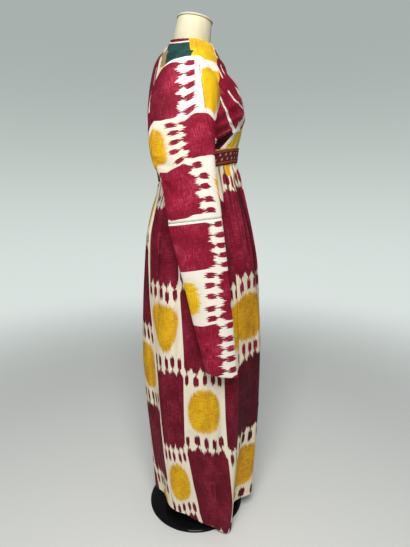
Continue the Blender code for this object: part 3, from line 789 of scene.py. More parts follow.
# folds of a sleeve: ring row and turn where each starts and ends, half width in rows, depth
sleeveFolds = (
    (2.6, -58.0, 5.2, -84.0, 0.4, -0.0046),
    (4.2, -40.0, 6.4, -78.0, 0.35, 0.0026),
    (6.0, -96.0, 6.9, 20.0, 0.22, -0.002),
    (6.6, -100.0, 7.6, -10.0, 0.24, -0.0026),
    (7.7, -110.0, 7.4, 0.0, 0.18, 0.0016),
    (9.2, -100.0, 8.8, 10.0, 0.22, -0.0016),
    (10.6, 110.0, 10.1, 10.0, 0.24, -0.0018),
    (11.6, -90.0, 12.1, 30.0, 0.24, 0.0014),
    (3.4, 150.0, 4.8, 70.0, 0.32, -0.003),
    (5.0, 165.0, 6.2, 95.0, 0.3, 0.0026),
)

# the sharp crease pressed into each upper sleeve: ring row and way round in degrees
pressedCrease = {
    "columns": ("row", "turn"),
    "rows": ((0.0, 16.0), (2.02, 24.9), (3.28, 33.7), (4.46, 42.4), (5.47, 62.9), (6.2, 80.0)),
    "height": 0.0026,
    "width": 6.0,
}


def armholeRing(turns):
    s = np.sin(turns)
    width = np.where(s > 0, seams["armholeFront"], seams["armholeBack"])
    return robeSurface(90.0 - width * s, armholeMiddle + armholeHalf * np.cos(turns))


def sleeveSurface(row, turns, swing):
    # ring row 0 is the armhole; turn 0 is the outer side and a quarter turn the front
    value = {n: readTable(sleeveRings, n, row) for n in sleeveRings["columns"][1:]}
    along, aside = rounded(np.cos(turns), value["power"]), rounded(np.sin(turns), value["power"])

    def between(first, second, share):
        return (value[first] + value[second] + (value[first] - value[second]) * share) / 2

    x, z = -between("outerX", "innerX", along), between("outerZ", "innerZ", along)
    y = between("front", "back", aside)
    z = z - value["tilt"] * (value["front"] - value["back"]) * aside / 2
    down = np.clip((levels["shoulder"] - z) / (levels["shoulder"] - sleeve["creaseLowLevel"]), 0, 1)
    centre = sleeve["creaseTop"] + (sleeve["creaseLow"] - sleeve["creaseTop"]) * down
    join = np.where(row < 1, value["join"] * row, value["join"])
    height = sleeve["creaseHeight"] * bump(turnBetween(np.degrees(turns), centre) / sleeve["creaseWidth"])
    height = height * ease((1 - down) / 0.3) * join
    hanging = np.stack((x - height * 0.8, y - height * 0.6, z), axis=-1)
    points = armholeRing(turns) * (1 - join)[..., None] + hanging * join[..., None]
    lowest = sleeveRings["rows"][-1][2]
    points[..., 1] += swing * ease((levels["shoulder"] - points[..., 2]) / (levels["shoulder"] - lowest))
    return points


def sleeveFoldHeight(row, turns):
    total = 0.0
    degrees = np.degrees(turns)
    for startRow, startTurn, endRow, endTurn, width, depth in sleeveFolds:
        share = (degrees - startTurn) / (endTurn - startTurn)
        centre = startRow + (endRow - startRow) * np.clip(share, 0, 1)
        inside = ease(share / 0.15) * ease((1 - share) / 0.5)
        total = total + depth * inside * bump((row - centre) / width)
    away = np.abs(turnBetween(degrees, readTable(pressedCrease, "turn", row)))
    fade = ease(row / 0.8) * ease((6.6 - row) / 1.2)
    return total + pressedCrease["height"] * np.exp(-away / pressedCrease["width"]) * fade


# lines between the sleeve's dyed columns: distance along the sleeve, by the way round it
upperLines = {
    "columns": ("around", "arc", "second", "third", "joint"),
    "rows": (
        (-0.2, 0.03, 0.15, 0.25, 0.36),
        (-0.07, 0.028, 0.158, 0.2575, 0.369),
        (-0.058, 0.032, 0.164, 0.27, 0.388),
        (-0.045, 0.035, 0.17, 0.279, 0.3975),
        (-0.02, 0.0385, 0.173, 0.277, 0.404),
        (0.006, 0.0325, 0.1705, 0.264, 0.393),
        (0.03, 0.0165, 0.151, 0.2475, 0.38),
        (0.053, -0.027, 0.1395, 0.23, 0.359),
        (0.079, -0.07, 0.1265, 0.195, 0.33),
        (0.102, -0.15, 0.085, 0.165, 0.3),
        (0.145, -0.3, 0.02, 0.11, 0.27),
        (0.2, -0.3, 0.0, 0.09, 0.24),
    ),
}
lowerLines = {
    "columns": ("around", "joint", "second", "third", "cuff"),
    "rows": (
        (-0.2, 0.0, 0.124, 0.264, 0.405),
        (-0.062, 0.0, 0.124, 0.264, 0.405),
        (-0.03, 0.0, 0.1223, 0.266, 0.409),
        (0.002, 0.0, 0.1205, 0.261, 0.411),
        (0.027, 0.0, 0.1229, 0.26, 0.412),
        (0.059, 0.0, 0.13, 0.262, 0.412),
        (0.2, 0.0, 0.13, 0.264, 0.412),
    ),
}
upperShift = {
    "columns": ("length", "shift"),
    "rows": ((0.0, 0.1325), (0.1, 0.1275), (0.22, 0.1185), (0.29, 0.106), (0.34, 0.0985), (0.4, 0.094)),
}
lowerShift = {
    "columns": ("length", "shift"),
    "rows": ((0.06, 0.084), (0.21, 0.093), (0.35, 0.109)),
}


def sleeveMap(length, around, lower):
    lines, shifts = (lowerLines, lowerShift) if lower else (upperLines, upperShift)
    found = [readTable(lines, name, around) for name in lines["columns"][1:]]
    place = columnsBetween(length, found) + (4.0 if lower else 0.0)
    along = around + readTable(shifts, "shift", length)
    return np.stack((place * dyeing["column"], along), axis=-1)


def makeSleeve(name, side, lower):
    row = np.linspace(*sleeve["lowerRows" if lower else "upperRows"])
    turns = np.linspace(-math.pi, math.pi, sleeve["columns"])
    row, turns = np.meshgrid(row, turns, indexing="ij")
    points = sleeveSurface(row, turns, 0.0 if side > 0 else sleeve["leftSwing"])
    roundWay = np.gradient(points, axis=1)
    roundWay[:, 0] = roundWay[:, -1] = points[:, 1] - points[:, -2]
    normals = np.cross(np.gradient(points, axis=0), roundWay)
    normals /= np.linalg.norm(normals, axis=-1)[..., None]
    length = distanceAlong(points, 0)
    left = length[-1:] - length
    inward = seamGroove(length) + hemGroove(left, sleeve["cuffWidth"]) if lower else seamGroove(left)
    foldHeight = sleeveFoldHeight(row, turns)
    points = points + normals * (foldHeight - inward)[..., None]
    points[:, -1] = points[:, 0]
    if lower:
        points[0, :, 2] -= sleeve["jointGap"] / 2
    else:
        points[-1, :, 2] += sleeve["jointGap"] / 2
    around = distanceAlong(points, 1)
    middle = around[:, around.shape[1] // 2][:, None]
    threadMap = sleeveMap(length, around - middle, lower)
    points = points * np.array((side, 1.0, 1.0))
    # the depth of the sleeve's folds goes with it, for the painted shade in them
    return clothGrid(name, points, threadMap, -foldHeight / darkFrom["sleeve"], flip=side > 0, closed=True)


# Shader nodes: what a node puts out is added and multiplied here as a number is

class shaderValue:
    def __init__(self, socket):
        self.socket = socket

    def __add__(self, other):
        return calc("ADD", self, other)

    def __sub__(self, other):
        return calc("SUBTRACT", self, other)

    def __rsub__(self, other):
        return calc("SUBTRACT", other, self)

    def __mul__(self, other):
        return calc("MULTIPLY", self, other)

    def __truediv__(self, other):
        return calc("DIVIDE", self, other)

    def __pow__(self, other):
        return calc("POWER", self, other)

    def __abs__(self):
        return calc("ABSOLUTE", self)


def feed(socket, value):
    if isinstance(value, shaderValue):
        socket.id_data.links.new(value.socket, socket)
    else:
        socket.default_value = value


def newNode(beside, kind, inputs, **settings):
    # beside is a value whose tree the node goes into, or the tree itself
    tree = beside.socket.id_data if isinstance(beside, shaderValue) else beside
    node = tree.nodes.new("ShaderNode" + kind)
    for name, value in settings.items():
        setattr(node, name, value)
    for name, value in inputs.items():
        feed(node.inputs[name], value)
    return node


def newValue(beside, kind, inputs, output=0, **settings):
    return shaderValue(newNode(beside, kind, inputs, **settings).outputs[output])


def calc(operation, *values):
    beside = next(value for value in values if isinstance(value, shaderValue))
    return newValue(beside, "Math", dict(enumerate(values)), operation=operation)


def vectorCalc(operation, *values, output="Vector"):
    return newValue(values[0], "VectorMath", dict(enumerate(values)), output, operation=operation)


def most(value, *others):
    for other in others:
        value = calc("MAXIMUM", value, other)
    return value


def fraction(value):
    return calc("FRACT", value)


def farFrom(across, along):
    return calc("SQRT", across ** 2.0 + along ** 2.0)


def softStep(value, low, high):
    # 0 at low and 1 at high, whichever of the two is larger
    inputs = {"Value": value, "From Min": low, "From Max": high}
    return newValue(value, "MapRange", inputs, interpolation_type="SMOOTHSTEP")


def past(value, edge, soft):
    return softStep(value, edge - soft, edge + soft)


def within(value, edge, soft):
    return softStep(value, edge + soft, edge - soft)


def mixColours(factor, first, second):
    return newValue(factor, "Mix", {0: factor, 6: first, 7: second}, 2, data_type="RGBA")


def noise(vector, stretch, detail=2.0):
    mapped = newValue(vector, "Mapping", {"Vector": vector, "Scale": stretch})
    return newValue(vector, "TexNoise", {"Vector": mapped, "Scale": 1.0, "Detail": detail})


def layered(vector, tone, layers):
    # several noises added to a tone: stretch, detail and strength of each
    for stretch, detail, strength in layers:
        tone = (noise(vector, stretch, detail) - 0.5) * strength + tone
    return tone


def splitVector(vector):
    return [shaderValue(output) for output in newNode(vector, "SeparateXYZ", {0: vector}).outputs]


def chance(first, second, seed):
    # an even draw from 0 to 1 for each pair of whole numbers
    return fraction(calc("SINE", first * 1.7 + (second * 2.3 + seed)) * 97.0)


def startGroup(name, inputs, outputs):
    # an input without a number takes a vector
    group = bpy.data.node_groups.new(name, "ShaderNodeTree")
    for label, value in inputs.items():
        kind = "NodeSocketVector" if value is None else "NodeSocketFloat"
        socket = group.interface.new_socket(label, in_out="INPUT", socket_type=kind)
        if value is not None:
            socket.default_value = value
    for label, kind in outputs.items():
        group.interface.new_socket(label, in_out="OUTPUT", socket_type="NodeSocket" + kind)
    given = group.nodes.new("NodeGroupInput").outputs
    result = group.nodes.new("NodeGroupOutput").inputs
    return group, {label: shaderValue(given[label]) for label in inputs}, result


def useGroup(group, **values):
    node = newNode(values["Map"], "Group", {}, node_tree=group)
    for name, value in values.items():
        feed(node.inputs[name], value)
    return {output.name: shaderValue(output) for output in node.outputs}


# The ikat's dye colours, a painted shade colour for the folds, and the sizes of one repeat in metres of
# cloth
ikat = {
    "crimson": (0.345, 0.009, 0.038, 1.0),
    "crimsonDeep": (0.18, 0.003, 0.016, 1.0),
    "crimsonFaded": (0.52, 0.062, 0.115, 1.0),
    "maroon": (0.085, 0.002, 0.011, 1.0),
    "maroonDeep": (0.03, 0.001, 0.004, 1.0),
    "maroonFaded": (0.17, 0.01, 0.028, 1.0),
    "gold": (0.93, 0.6, 0.008, 1.0),
    "goldDeep": (0.7, 0.36, 0.006, 1.0),
    "ochre": (0.78, 0.4, 0.012, 1.0),
    "ochreDeep": (0.47, 0.2, 0.008, 1.0),
    "cream": (0.92, 0.87, 0.76, 1.0),
    "creamWarm": (0.8, 0.7, 0.52, 1.0),
    "creamAged": (0.88, 0.77, 0.55, 1.0),
    "green": (0.02, 0.08, 0.07, 1.0),
    "greenDeep": (0.008, 0.036, 0.036, 1.0),
    "tan": (0.36, 0.24, 0.095, 1.0),
    # painted shade: the near-black that the cloth's colour turns to deep in its folds
    "paintedFoldShade": (0.02, 0.004, 0.006, 1.0),
    "block": 0.237,
    "blockInset": 0.008,
    "cornerCut": 0.014,
    "dots": 5.0,
    "dotWidth": 0.007,
    "dotSpread": 0.008,
    "dotInset": 0.004,
    "stemWidth": 0.0013,
    "stemSoft": 0.0004,
    "stemWander": 0.2,
    "tooth": 0.01,
    "frameLength": 0.026,
    "frameWidth": 0.009,
    "slipFine": 0.033,
    "slipBroad": 0.012,
    # stretch, detail and strength of the noises in the dye: warp, weft, slubs and clouds
    "threads": (
        ((1100.0, 30.0, 1.0), 2.0, 1.8),
        ((40.0, 700.0, 1.0), 3.0, 1.6),
        ((60.0, 330.0, 1.0), 2.0, 1.5),
        ((22.0, 15.0, 1.0), 4.0, 1.8),
    ),
    # the same for the plain dyed blocks
    "plainThreads": (((60.0, 900.0, 60.0), 2.0, 1.6), ((22.0, 30.0, 22.0), 3.0, 1.6)),
}


def makeDyeGroup():
    # toothed blocks, stemmed dots and discs in columns, each column half a repeat from the next
    inputs = {
        "Map": None,
        "Seed": 0.0,
        "Square": 2.4,
        "Lot": 0.0,
        "RedLot": 0.0,
        "Gap": 1.0,
        "DiscsBelow": 9.0,
        "DotAway": 0.024,
        "DotLength": 0.0125,
        "DiscLength": 0.067,
        "DiscWidth": 0.05,
        "EdgeOne": 9.0,
        "EdgeTwo": 9.0,
    }
    group, given, result = startGroup("ikatDye", inputs, {"Color": "Color"})
    x, y = splitVector(given["Map"])[:2]
    column, repeat = dyeing["column"], dyeing["repeat"]
    place = x / column
    index = calc("FLOOR", place)
    across = fraction(place) - 0.5
    fromMiddle = abs(across)
    odd = fraction(index * 0.5)

    # warp threads slip along themselves, which feathers every end
    fine = noise(given["Map"], (560.0, 14.0, 1.0), 1.0) - 0.5
    broad = noise(given["Map"], (190.0, 7.0, 1.0), 1.0) - 0.5
    along = odd * repeat + y + (fine * ikat["slipFine"] + broad * ikat["slipBroad"])
    turns = along / repeat + 0.5
    turn = fraction(turns) - 0.5
    reach = abs(turn) * repeat
    nearest = calc("ROUND", turns)

    # a tooth of the block and a dot for each stem
    cells = across * ikat["dots"] + 0.5
    cell = index * 7.0 + calc("FLOOR", cells)
    wander, toothDrawn, dotDrawn = (chance(cell, nearest, 3.1 * number + 0.4) for number in range(3))
    offStem = abs(fraction(cells) - 0.5 + (wander - 0.5) * ikat["stemWander"])
    spike = most(offStem * -2.0 + 1.0, 0.0) ** 0.9
    length = toothDrawn * ikat["tooth"] + ikat["tooth"]
    corner = (fromMiddle * 2.0) ** 8.0
    edge = spike * length + (ikat["block"] / 2 - ikat["blockInset"]) - corner * ikat["cornerCut"]
    block = past(edge - reach, 0.0, 0.001)

    dotAt = dotDrawn * ikat["dotSpread"] + (given["DotAway"] + (ikat["block"] / 2 - ikat["dotInset"]))
    dotWay = (abs(reach - dotAt) / given["DotLength"]) ** 3.2
    offMetres = offStem * (column / ikat["dots"])
    dotAcross = (offMetres / ikat["dotWidth"]) ** 3.0
    dot = within(dotWay + dotAcross, 1.05, 0.2)
    stem = within(offMetres, ikat["stemWidth"], ikat["stemSoft"]) * calc("LESS_THAN", reach, dotAt)

    # a disc that is round, or wider above than below or below than above
    fromDisc = repeat / 2 - reach
    upward = fromDisc / (given["DiscLength"] * -1.0) * calc("SIGN", turn)
    lean = (chance(index, nearest, given["Seed"]) - 0.5) * upward * 1.1 + 1.0
    sideways = fromMiddle * column
    discAcross = (sideways / (lean * given["DiscWidth"])) ** given["Square"]
    discShape = discAcross + (fromDisc / given["DiscLength"]) ** given["Square"]
    gold = within(discShape, 1.0, 0.2) * calc("LESS_THAN", y, given["DiscsBelow"])
    halo = softStep(discShape, 3.0, 0.9) * 0.35

    # faint frame in the middle of each block
    boxed = most(sideways / ikat["frameWidth"], reach / ikat["frameLength"])
    frameLine = softStep(abs(boxed - 1.0), 0.2, 0.1) * 0.55

    # cream shows at the column's sides and along the loom edges
    margin = softStep(0.5 - fromMiddle, 0.006, 0.014)
    for name in ("EdgeOne", "EdgeTwo"):
        margin = margin * softStep(abs(x - given[name]), 0.0042, 0.0056)
    dyed = most(block, dot, stem) * most(margin, 1.0 - given["Gap"])

    # no two threads took the dye alike
    tone = layered(given["Map"], 0.42, ikat["threads"])
    faded = most(softStep(tone, 0.28, -0.3) * 0.85, frameLine)
    warmth = halo + softStep(tone, 0.0, 1.4) * 0.3
    lot = given["Lot"]
    ground = mixColours(warmth, mixColours(lot, ikat["cream"], ikat["creamAged"]), ikat["creamWarm"])
    bright = mixColours(lot, ikat["gold"], ikat["ochre"])
    dull = mixColours(lot, ikat["goldDeep"], ikat["ochreDeep"])
    yellow = mixColours(softStep(tone, 0.0, 0.9), bright, dull)
    red, deep, pale = (
        mixColours(given["RedLot"], ikat["crimson" + shade], ikat["maroon" + shade])
        for shade in ("", "Deep", "Faded")
    )
    red = mixColours(faded, mixColours(softStep(tone, 0.1, 1.0), red, deep), pale)
    feed(result["Color"], mixColours(dyed, mixColours(gold, ground, yellow), red))
    return group


def makeWeaveGroup():
    # ribs of the weave with uneven threads
    inputs = {"Map": None, "Warp": 0.0006, "Weft": 0.0011}
    group, given, result = startGroup("clothWeave", inputs, {"Height": "Float", "Shade": "Float"})
    x, y = splitVector(given["Map"])[:2]
    shifted = noise(given["Map"], (90.0, 90.0, 90.0)) * 0.002 + y
    turnLength = 0.159  # a rib's width for a whole turn of the sine
    warp = calc("SINE", x / (given["Warp"] * turnLength))
    weft = calc("SINE", shifted / (given["Weft"] * turnLength))
    slubs = noise(given["Map"], (30.0, 900.0, 30.0), 1.0)
    feed(result["Height"], warp * 0.2 + weft * 0.3 + slubs)
    feed(result["Shade"], slubs)
    return group


def makeStrokeGroup():
    # soft mask of a stroke between two points of a map, for dye marks and for painted shade and highlight
    # lines
    inputs = {"Map": None, "Start": None, "End": None, "Width": 0.006}
    group, given, result = startGroup("dyeAndPaintedLightStroke", inputs, {"Mask": "Float"})
    run = vectorCalc("SUBTRACT", given["End"], given["Start"])
    offset = vectorCalc("SUBTRACT", given["Map"], given["Start"])
    along, whole = (vectorCalc("DOT_PRODUCT", way, run, output="Value") for way in (offset, run))
    share = along / whole
    share.socket.node.use_clamp = True
    nearest = vectorCalc("MULTIPLY", run, share)
    away = vectorCalc("LENGTH", vectorCalc("SUBTRACT", offset, nearest), output="Value")
    ragged = noise(given["Map"], (260.0, 260.0, 260.0)) * 0.004 + away
    feed(result["Mask"], within(ragged, given["Width"] * 0.5 + 0.002, 0.0008))
    return group


dyeGroup = makeDyeGroup()
weaveGroup = makeWeaveGroup()
strokeGroup = makeStrokeGroup()


def startMaterial(name, roughness, **settings):
    material = bpy.data.materials.new(name)
    material.use_nodes = True
    give(material, "Roughness", roughness)
    for label, value in settings.items():
        give(material, label.replace("_", " "), value)
    return material


def give(material, label, value):
    feed(material.node_tree.nodes["Principled BSDF"].inputs[label], value)


def addBump(material, height, strength, distance):
    inputs = {"Height": height, "Strength": strength, "Distance": distance}
    give(material, "Normal", newValue(height, "Bump", inputs))


def clothCoordinates(material):
    return newValue(material.node_tree, "UVMap", {}, uv_map="clothMap")


def objectCoordinates(material):
    return newValue(material.node_tree, "TexCoord", {}, "Object")


def addStrokes(coordinates, colour, strokes, across=1.0):
    for start, end, width, paint in strokes:
        stroke = useGroup(
            strokeGroup,
            Map=coordinates,
            Start=(start[0] * across, start[1], 0.0),
            End=(end[0] * across, end[1], 0.0),
            Width=width,
        )
        colour = mixColours(stroke["Mask"], colour, ikat[paint])
    return colour


clothFinish = {"roughness": 0.72, "specular": 0.18, "bump": 0.3, "bumpDistance": 0.0004, "foldShade": 0.85}


def startCloth(name):
    material = startMaterial(name, clothFinish["roughness"], Specular_IOR_Level=clothFinish["specular"])
    return material, clothCoordinates(material)


def endCloth(material, colour, coordinates):
    weave = useGroup(weaveGroup, Map=coordinates)
    folds = newValue(coordinates, "Attribute", {}, "Fac", attribute_name="foldDepth")
    # painted shade: the cloth's colour is darkened where its points lie deep in a fold
    deep = softStep(folds, 0.15, 0.95) * clothFinish["foldShade"]
    give(material, "Base Color", mixColours(deep, colour, ikat["paintedFoldShade"]))
    give(material, "Roughness", weave["Shade"] * 0.24 + (clothFinish["roughness"] - 0.12))
    addBump(material, weave["Height"], clothFinish["bump"], clothFinish["bumpDistance"])
    return material


def mottled(coordinates, first, second):
    tone = layered(coordinates, 0.5, ikat["plainThreads"])
    return mixColours(softStep(tone, 0.0, 1.1), ikat[first], ikat[second])


# streaks of yellow under the waistband: start and end on the cloth's map, width, colour
skirtStrokes = (
    ((0.052, 0.72), (0.055, 0.648), 0.03, "ochre"),
    ((0.06, 0.655), (0.066, 0.625), 0.007, "ochre"),
)
skirtLoomEdges = (3 * dyeing["column"], (3 + dyeing["leftColumns"]) * dyeing["column"])


def makeSkirtCloth(name, seed, square, lot, redLot, lowerRed):
    # the lower rows have a red of their own, darker on the front panel
    material, coordinates = startCloth(name)
    low = within(splitVector(coordinates)[1], 0.12, 0.01)
    dye = useGroup(
        dyeGroup,
        Map=coordinates,
        Seed=seed,
        Square=square,
        Lot=lot,
        RedLot=low * (lowerRed - redLot) + redLot,
        DiscsBelow=0.6,
        DotAway=0.028,
        DotLength=0.0155,
        EdgeOne=skirtLoomEdges[0],
        EdgeTwo=skirtLoomEdges[1],
    )
    return endCloth(material, addStrokes(coordinates, dye["Color"], skirtStrokes), coordinates)


sleeveDye = {
    "deepFrom": (0.112, 0.07),
    "deep": 0.55,
    "seed": 0.6,
    "square": 3.4,
    "elbowLot": 0.6,
    "disc": (0.067, 0.048),
    "elbowLonger": 0.012,
    "lowerNarrower": 0.013,
    "yellowFrom": 0.1385,
    "arcMargin": 0.0024,
    "shoulderMargin": 0.006,
    "squareTop": 0.043,
    "squareBottom": 0.123,
    "squareSoft": 0.002,
    "squareSide": 0.1665,
    "squareLean": 0.115,
    "squareFrom": 0.039,
    "creamBefore": 0.014,
    "edgeSoft": 0.0008,
}

# cream streaks at the back of the first block, and painted shade and highlight lines along its pressed
# crease
sleeveStrokes = (
    ((0.008, 0.05), (0.06, 0.044), 0.003, "creamWarm"),
    ((0.03, 0.03), (0.085, 0.033), 0.003, "creamWarm"),
    # painted shade and highlight: a tan line along the pressed crease, then a maroon line where it goes on
    # into the next block
    ((-0.04, 0.1487), (0.128, 0.1805), 0.0016, "tan"),
    ((0.134, 0.1816), (0.205, 0.1945), 0.0011, "maroon"),
)


def makeSleeveCloth():
    # past the first line the shoulder's green and yellow blocks go on into the sleeve
    material, coordinates = startCloth("ikatSleeve")
    column = dyeing["column"]
    x, y = splitVector(coordinates)[:2]
    first = calc("LESS_THAN", x, column)
    elbow = calc("LESS_THAN", x, 2 * column) - first
    lower = calc("GREATER_THAN", x, 4 * column)
    dye = useGroup(
        dyeGroup,
        Map=coordinates,
        Seed=sleeveDye["seed"],
        Square=sleeveDye["square"],
        Lot=elbow * sleeveDye["elbowLot"],
        # the first column's red darkens towards the back of the sleeve
        RedLot=first * (softStep(y, *sleeveDye["deepFrom"]) * sleeveDye["deep"]),
        DiscLength=elbow * sleeveDye["elbowLonger"] + sleeveDye["disc"][0],
        DiscWidth=lower * -sleeveDye["lowerNarrower"] + sleeveDye["disc"][1],
        EdgeOne=3 * column,
        EdgeTwo=4 * column,
    )
    soft = sleeveDye["edgeSoft"]
    yellow = mottled(coordinates, "gold", "goldDeep")
    green = mottled(coordinates, "green", "greenDeep")
    shoulder = mixColours(past(y, sleeveDye["yellowFrom"], soft), green, yellow)
    margin = within(x, sleeveDye["arcMargin"], soft)
    undyed = calc("GREATER_THAN", x, 3 * column) * calc("LESS_THAN", x, 4 * column)
    # in front of the pressed crease the first column is cream with one square of yellow
    sideways = (noise(coordinates, (40.0, 700.0, 1.0)) - 0.5) * 0.01 + x
    crease = (x - sleeveDye["squareFrom"]) * sleeveDye["squareLean"] + sleeveDye["squareSide"]
    beyond = y - crease
    square = past(sideways, sleeveDye["squareTop"], sleeveDye["squareSoft"])
    square = square * within(sideways, sleeveDye["squareBottom"], sleeveDye["squareSoft"])
    square = square * softStep(beyond, -0.0006, 0.0012)
    inFirst = calc("LESS_THAN", x, column - 0.0012) * calc("GREATER_THAN", beyond, -sleeveDye["creamBefore"])
    colour = mixColours(inFirst, dye["Color"], ikat["cream"])
    colour = mixColours(square * inFirst, colour, yellow)
    colour = addStrokes(coordinates, colour, sleeveStrokes)
    colour = mixColours(most(margin, undyed), colour, ikat["cream"])
    colour = mixColours(within(x, -sleeveDye["shoulderMargin"], soft), colour, shoulder)
    return endCloth(material, colour, coordinates)


bodiceDye = {
    "seed": 1.0,
    "slant": 40.0,
    "middle": (49.5, 1.236),
    "blockAbove": 0.0715,
    "backLine": 138.0,
    "backColumn": 0.105,
    "backLevel": 1.27,
    "backRed": 0.4,
    # start, value there, slope, bend, slope added past the bend
    "greenTop": (98.0, 1.389, 0.000265, 115.0, 0.00033),
    "greenBack": (1.33, 123.5, 100.0, 1.368, 480.0),
    "streakBack": (1.33, 133.5, 0.0, 1.366, 330.0),
    "lineFrom": 98.0,
    "lineWidth": 0.0085,
    "lineNarrows": 0.0001,
    "ragged": 6.0,
    "lapFoot": 1.343,
    "lapTurn": 90.0,
    "lapLean": 165.0,
    "shoulderFoot": 1.33,
    "shoulderTurn": 41.0,
    "shoulderBend": 1.373,
    "shoulderLean": 260.0,
    "shoulderEdging": 0.007,
    "edgingFoot": 1.353,
    "yellowFoot": 1.337,
    "creamFoot": 1.3165,
    "plainFrom": 1.293,
    "edgeSoft": 0.0006,
}

# strokes across each front: start angle and level, end angle and level, width, colour
frontStrokes = (
    ((64.5, 1.276), (57.0, 1.2365), 0.0044, "cream"),
    ((57.0, 1.2365), (49.0, 1.2105), 0.0062, "cream"),
    ((49.0, 1.2105), (38.0, 1.1935), 0.0076, "cream"),
    ((49.5, 1.2775), (41.0, 1.2582), 0.0056, "cream"),
    ((41.0, 1.2582), (22.0, 1.248), 0.0046, "cream"),
    ((52.0, 1.331), (54.5, 1.306), 0.005, "cream"),
    ((40.5, 1.338), (44.8, 1.316), 0.0042, "cream"),
    # painted shade of the fold above the waistband: a maroon band and two near-black lines, with a painted
    # highlight in tan along its top
    ((72.0, 1.145), (45.0, 1.1805), 0.021, "maroon"),
    ((66.0, 1.162), (43.0, 1.1905), 0.004, "maroonDeep"),
    ((74.0, 1.144), (47.0, 1.176), 0.0036, "maroonDeep"),
    ((62.0, 1.184), (43.5, 1.1975), 0.0012, "tan"),
    ((16.0, 1.232), (50.0, 1.151), 0.016, "cream"),
    ((44.0, 1.146), (19.0, 1.186), 0.026, "gold"),
    ((12.4, 1.218), (14.0, 1.214), 0.009, "crimson"),
    ((16.5, 1.206), (18.0, 1.203), 0.008, "crimson"),
)
# cream streaks on the back beside the armhole
backStrokes = (
    ((142.5, 1.336), (141.5, 1.29), 0.003, "creamWarm"),
    ((133.0, 1.334), (132.5, 1.302), 0.003, "creamWarm"),
)
# painted shade: a darker line along the pressed crease over the yellow block of the shoulder
shoulderCreaseShade = (
    ((80.2, 1.405), (79.0, 1.3701), 0.0024, "ochreDeep"),
    ((79.0, 1.3701), (80.9, 1.34), 0.0024, "ochreDeep"),
)


def makeFrontCloth():
    material, coordinates = startCloth("ikatFront")
    slant = math.radians(bodiceDye["slant"])
    middle = Vector((bodiceDye["middle"][0] * bodiceMetres, bodiceDye["middle"][1], 0.0))
    turned = Matrix.Rotation(slant, 3, "Z") @ middle
    moved = (dyeing["column"] / 2 - turned.x, -bodiceDye["blockAbove"] - turned.y, 0.0)
    inputs = {"Vector": coordinates, "Rotation": (0.0, 0.0, slant), "Location": moved}
    slanting = newValue(coordinates, "Mapping", inputs)
    dye = useGroup(dyeGroup, Map=slanting, Seed=bodiceDye["seed"], Gap=0.0)
    x, y = splitVector(coordinates)[:2]
    crimson = mottled(coordinates, "crimson", "crimsonDeep")
    colour = mixColours(past(y, bodiceDye["plainFrom"], 0.003), dye["Color"], crimson)
    colour = addStrokes(coordinates, colour, frontStrokes, bodiceMetres)
    # the shoulder's yellow block, then cream, then the sleeve's yellow square
    drop = most(bodiceDye["shoulderBend"] - y, 0.0)
    limit = drop * (bodiceDye["shoulderLean"] * bodiceMetres) + bodiceDye["shoulderTurn"] * bodiceMetres
    beyond = x - limit
    edging = past(beyond, -bodiceDye["shoulderEdging"], 0.0005) * past(y, bodiceDye["edgingFoot"], 0.003)
    pale = past(y, bodiceDye["creamFoot"], 0.0008) * within(y, bodiceDye["yellowFoot"], 0.0008)
    block = mixColours(pale, mottled(coordinates, "gold", "goldDeep"), ikat["cream"])
    colour = mixColours(edging, colour, ikat["cream"])
    colour = mixColours(past(beyond, 0.0, bodiceDye["edgeSoft"]), colour, block)
    colour = addStrokes(coordinates, colour, shoulderCreaseShade, bodiceMetres)
    return endCloth(material, colour, coordinates)


def bentLine(value, start, at, slope, bend, added):
    # a straight line in value that grows steeper, by added, past its bend
    return most(value - bend, 0.0) * added + ((value - start) * slope + at)


def makeBackCloth(name, columns):
    material, coordinates = startCloth(name)
    x, y = splitVector(coordinates)[:2]
    turn = x / bodiceMetres
    place = (x - bodiceDye["backLine"] * bodiceMetres) * (dyeing["column"] / bodiceDye["backColumn"])
    place = place + columns * dyeing["column"]
    backMap = newValue(x, "CombineXYZ", {0: place, 1: y - bodiceDye["backLevel"]})
    dye = useGroup(dyeGroup, Map=backMap, Seed=bodiceDye["seed"], RedLot=bodiceDye["backRed"])
    # the green block, a cream line and a maroon bar follow the neck's edge
    aboveGreen = y - bentLine(turn, *bodiceDye["greenTop"])
    lineWide = (turn - bodiceDye["lineFrom"]) * -bodiceDye["lineNarrows"] + bodiceDye["lineWidth"]
    high = softStep(y, bodiceDye["shoulderFoot"], bodiceDye["shoulderFoot"] + 0.002)
    ragged = (noise(coordinates, (30.0, 500.0, 1.0)) - 0.5) * bodiceDye["ragged"] + turn
    inGreen = within(ragged - bentLine(y, *bodiceDye["greenBack"]), 0.0, 0.4)
    inStreak = within(ragged - bentLine(y, *bodiceDye["streakBack"]), 0.0, 0.6)
    colour = addStrokes(coordinates, dye["Color"], backStrokes, bodiceMetres)
    colour = mixColours(high * inStreak, colour, ikat["tan"])
    colour = mixColours(high * inGreen, colour, mottled(coordinates, "green", "greenDeep"))
    colour = mixColours(past(aboveGreen, 0.0, bodiceDye["edgeSoft"]), colour, ikat["cream"])
    barUp = past(aboveGreen - lineWide, 0.0, bodiceDye["edgeSoft"])
    colour = mixColours(barUp, colour, ikat["crimsonDeep"])
    # the front's yellow block laps a little over the shoulder towards the neck
    rise = y - bodiceDye["lapFoot"]
    lapped = within(turn - (rise * bodiceDye["lapLean"] + bodiceDye["lapTurn"]), 0.0, 0.3)
    lapped = lapped * calc("GREATER_THAN", rise, 0.0)
    colour = mixColours(lapped, colour, mottled(coordinates, "gold", "goldDeep"))
    return endCloth(material, colour, coordinates)


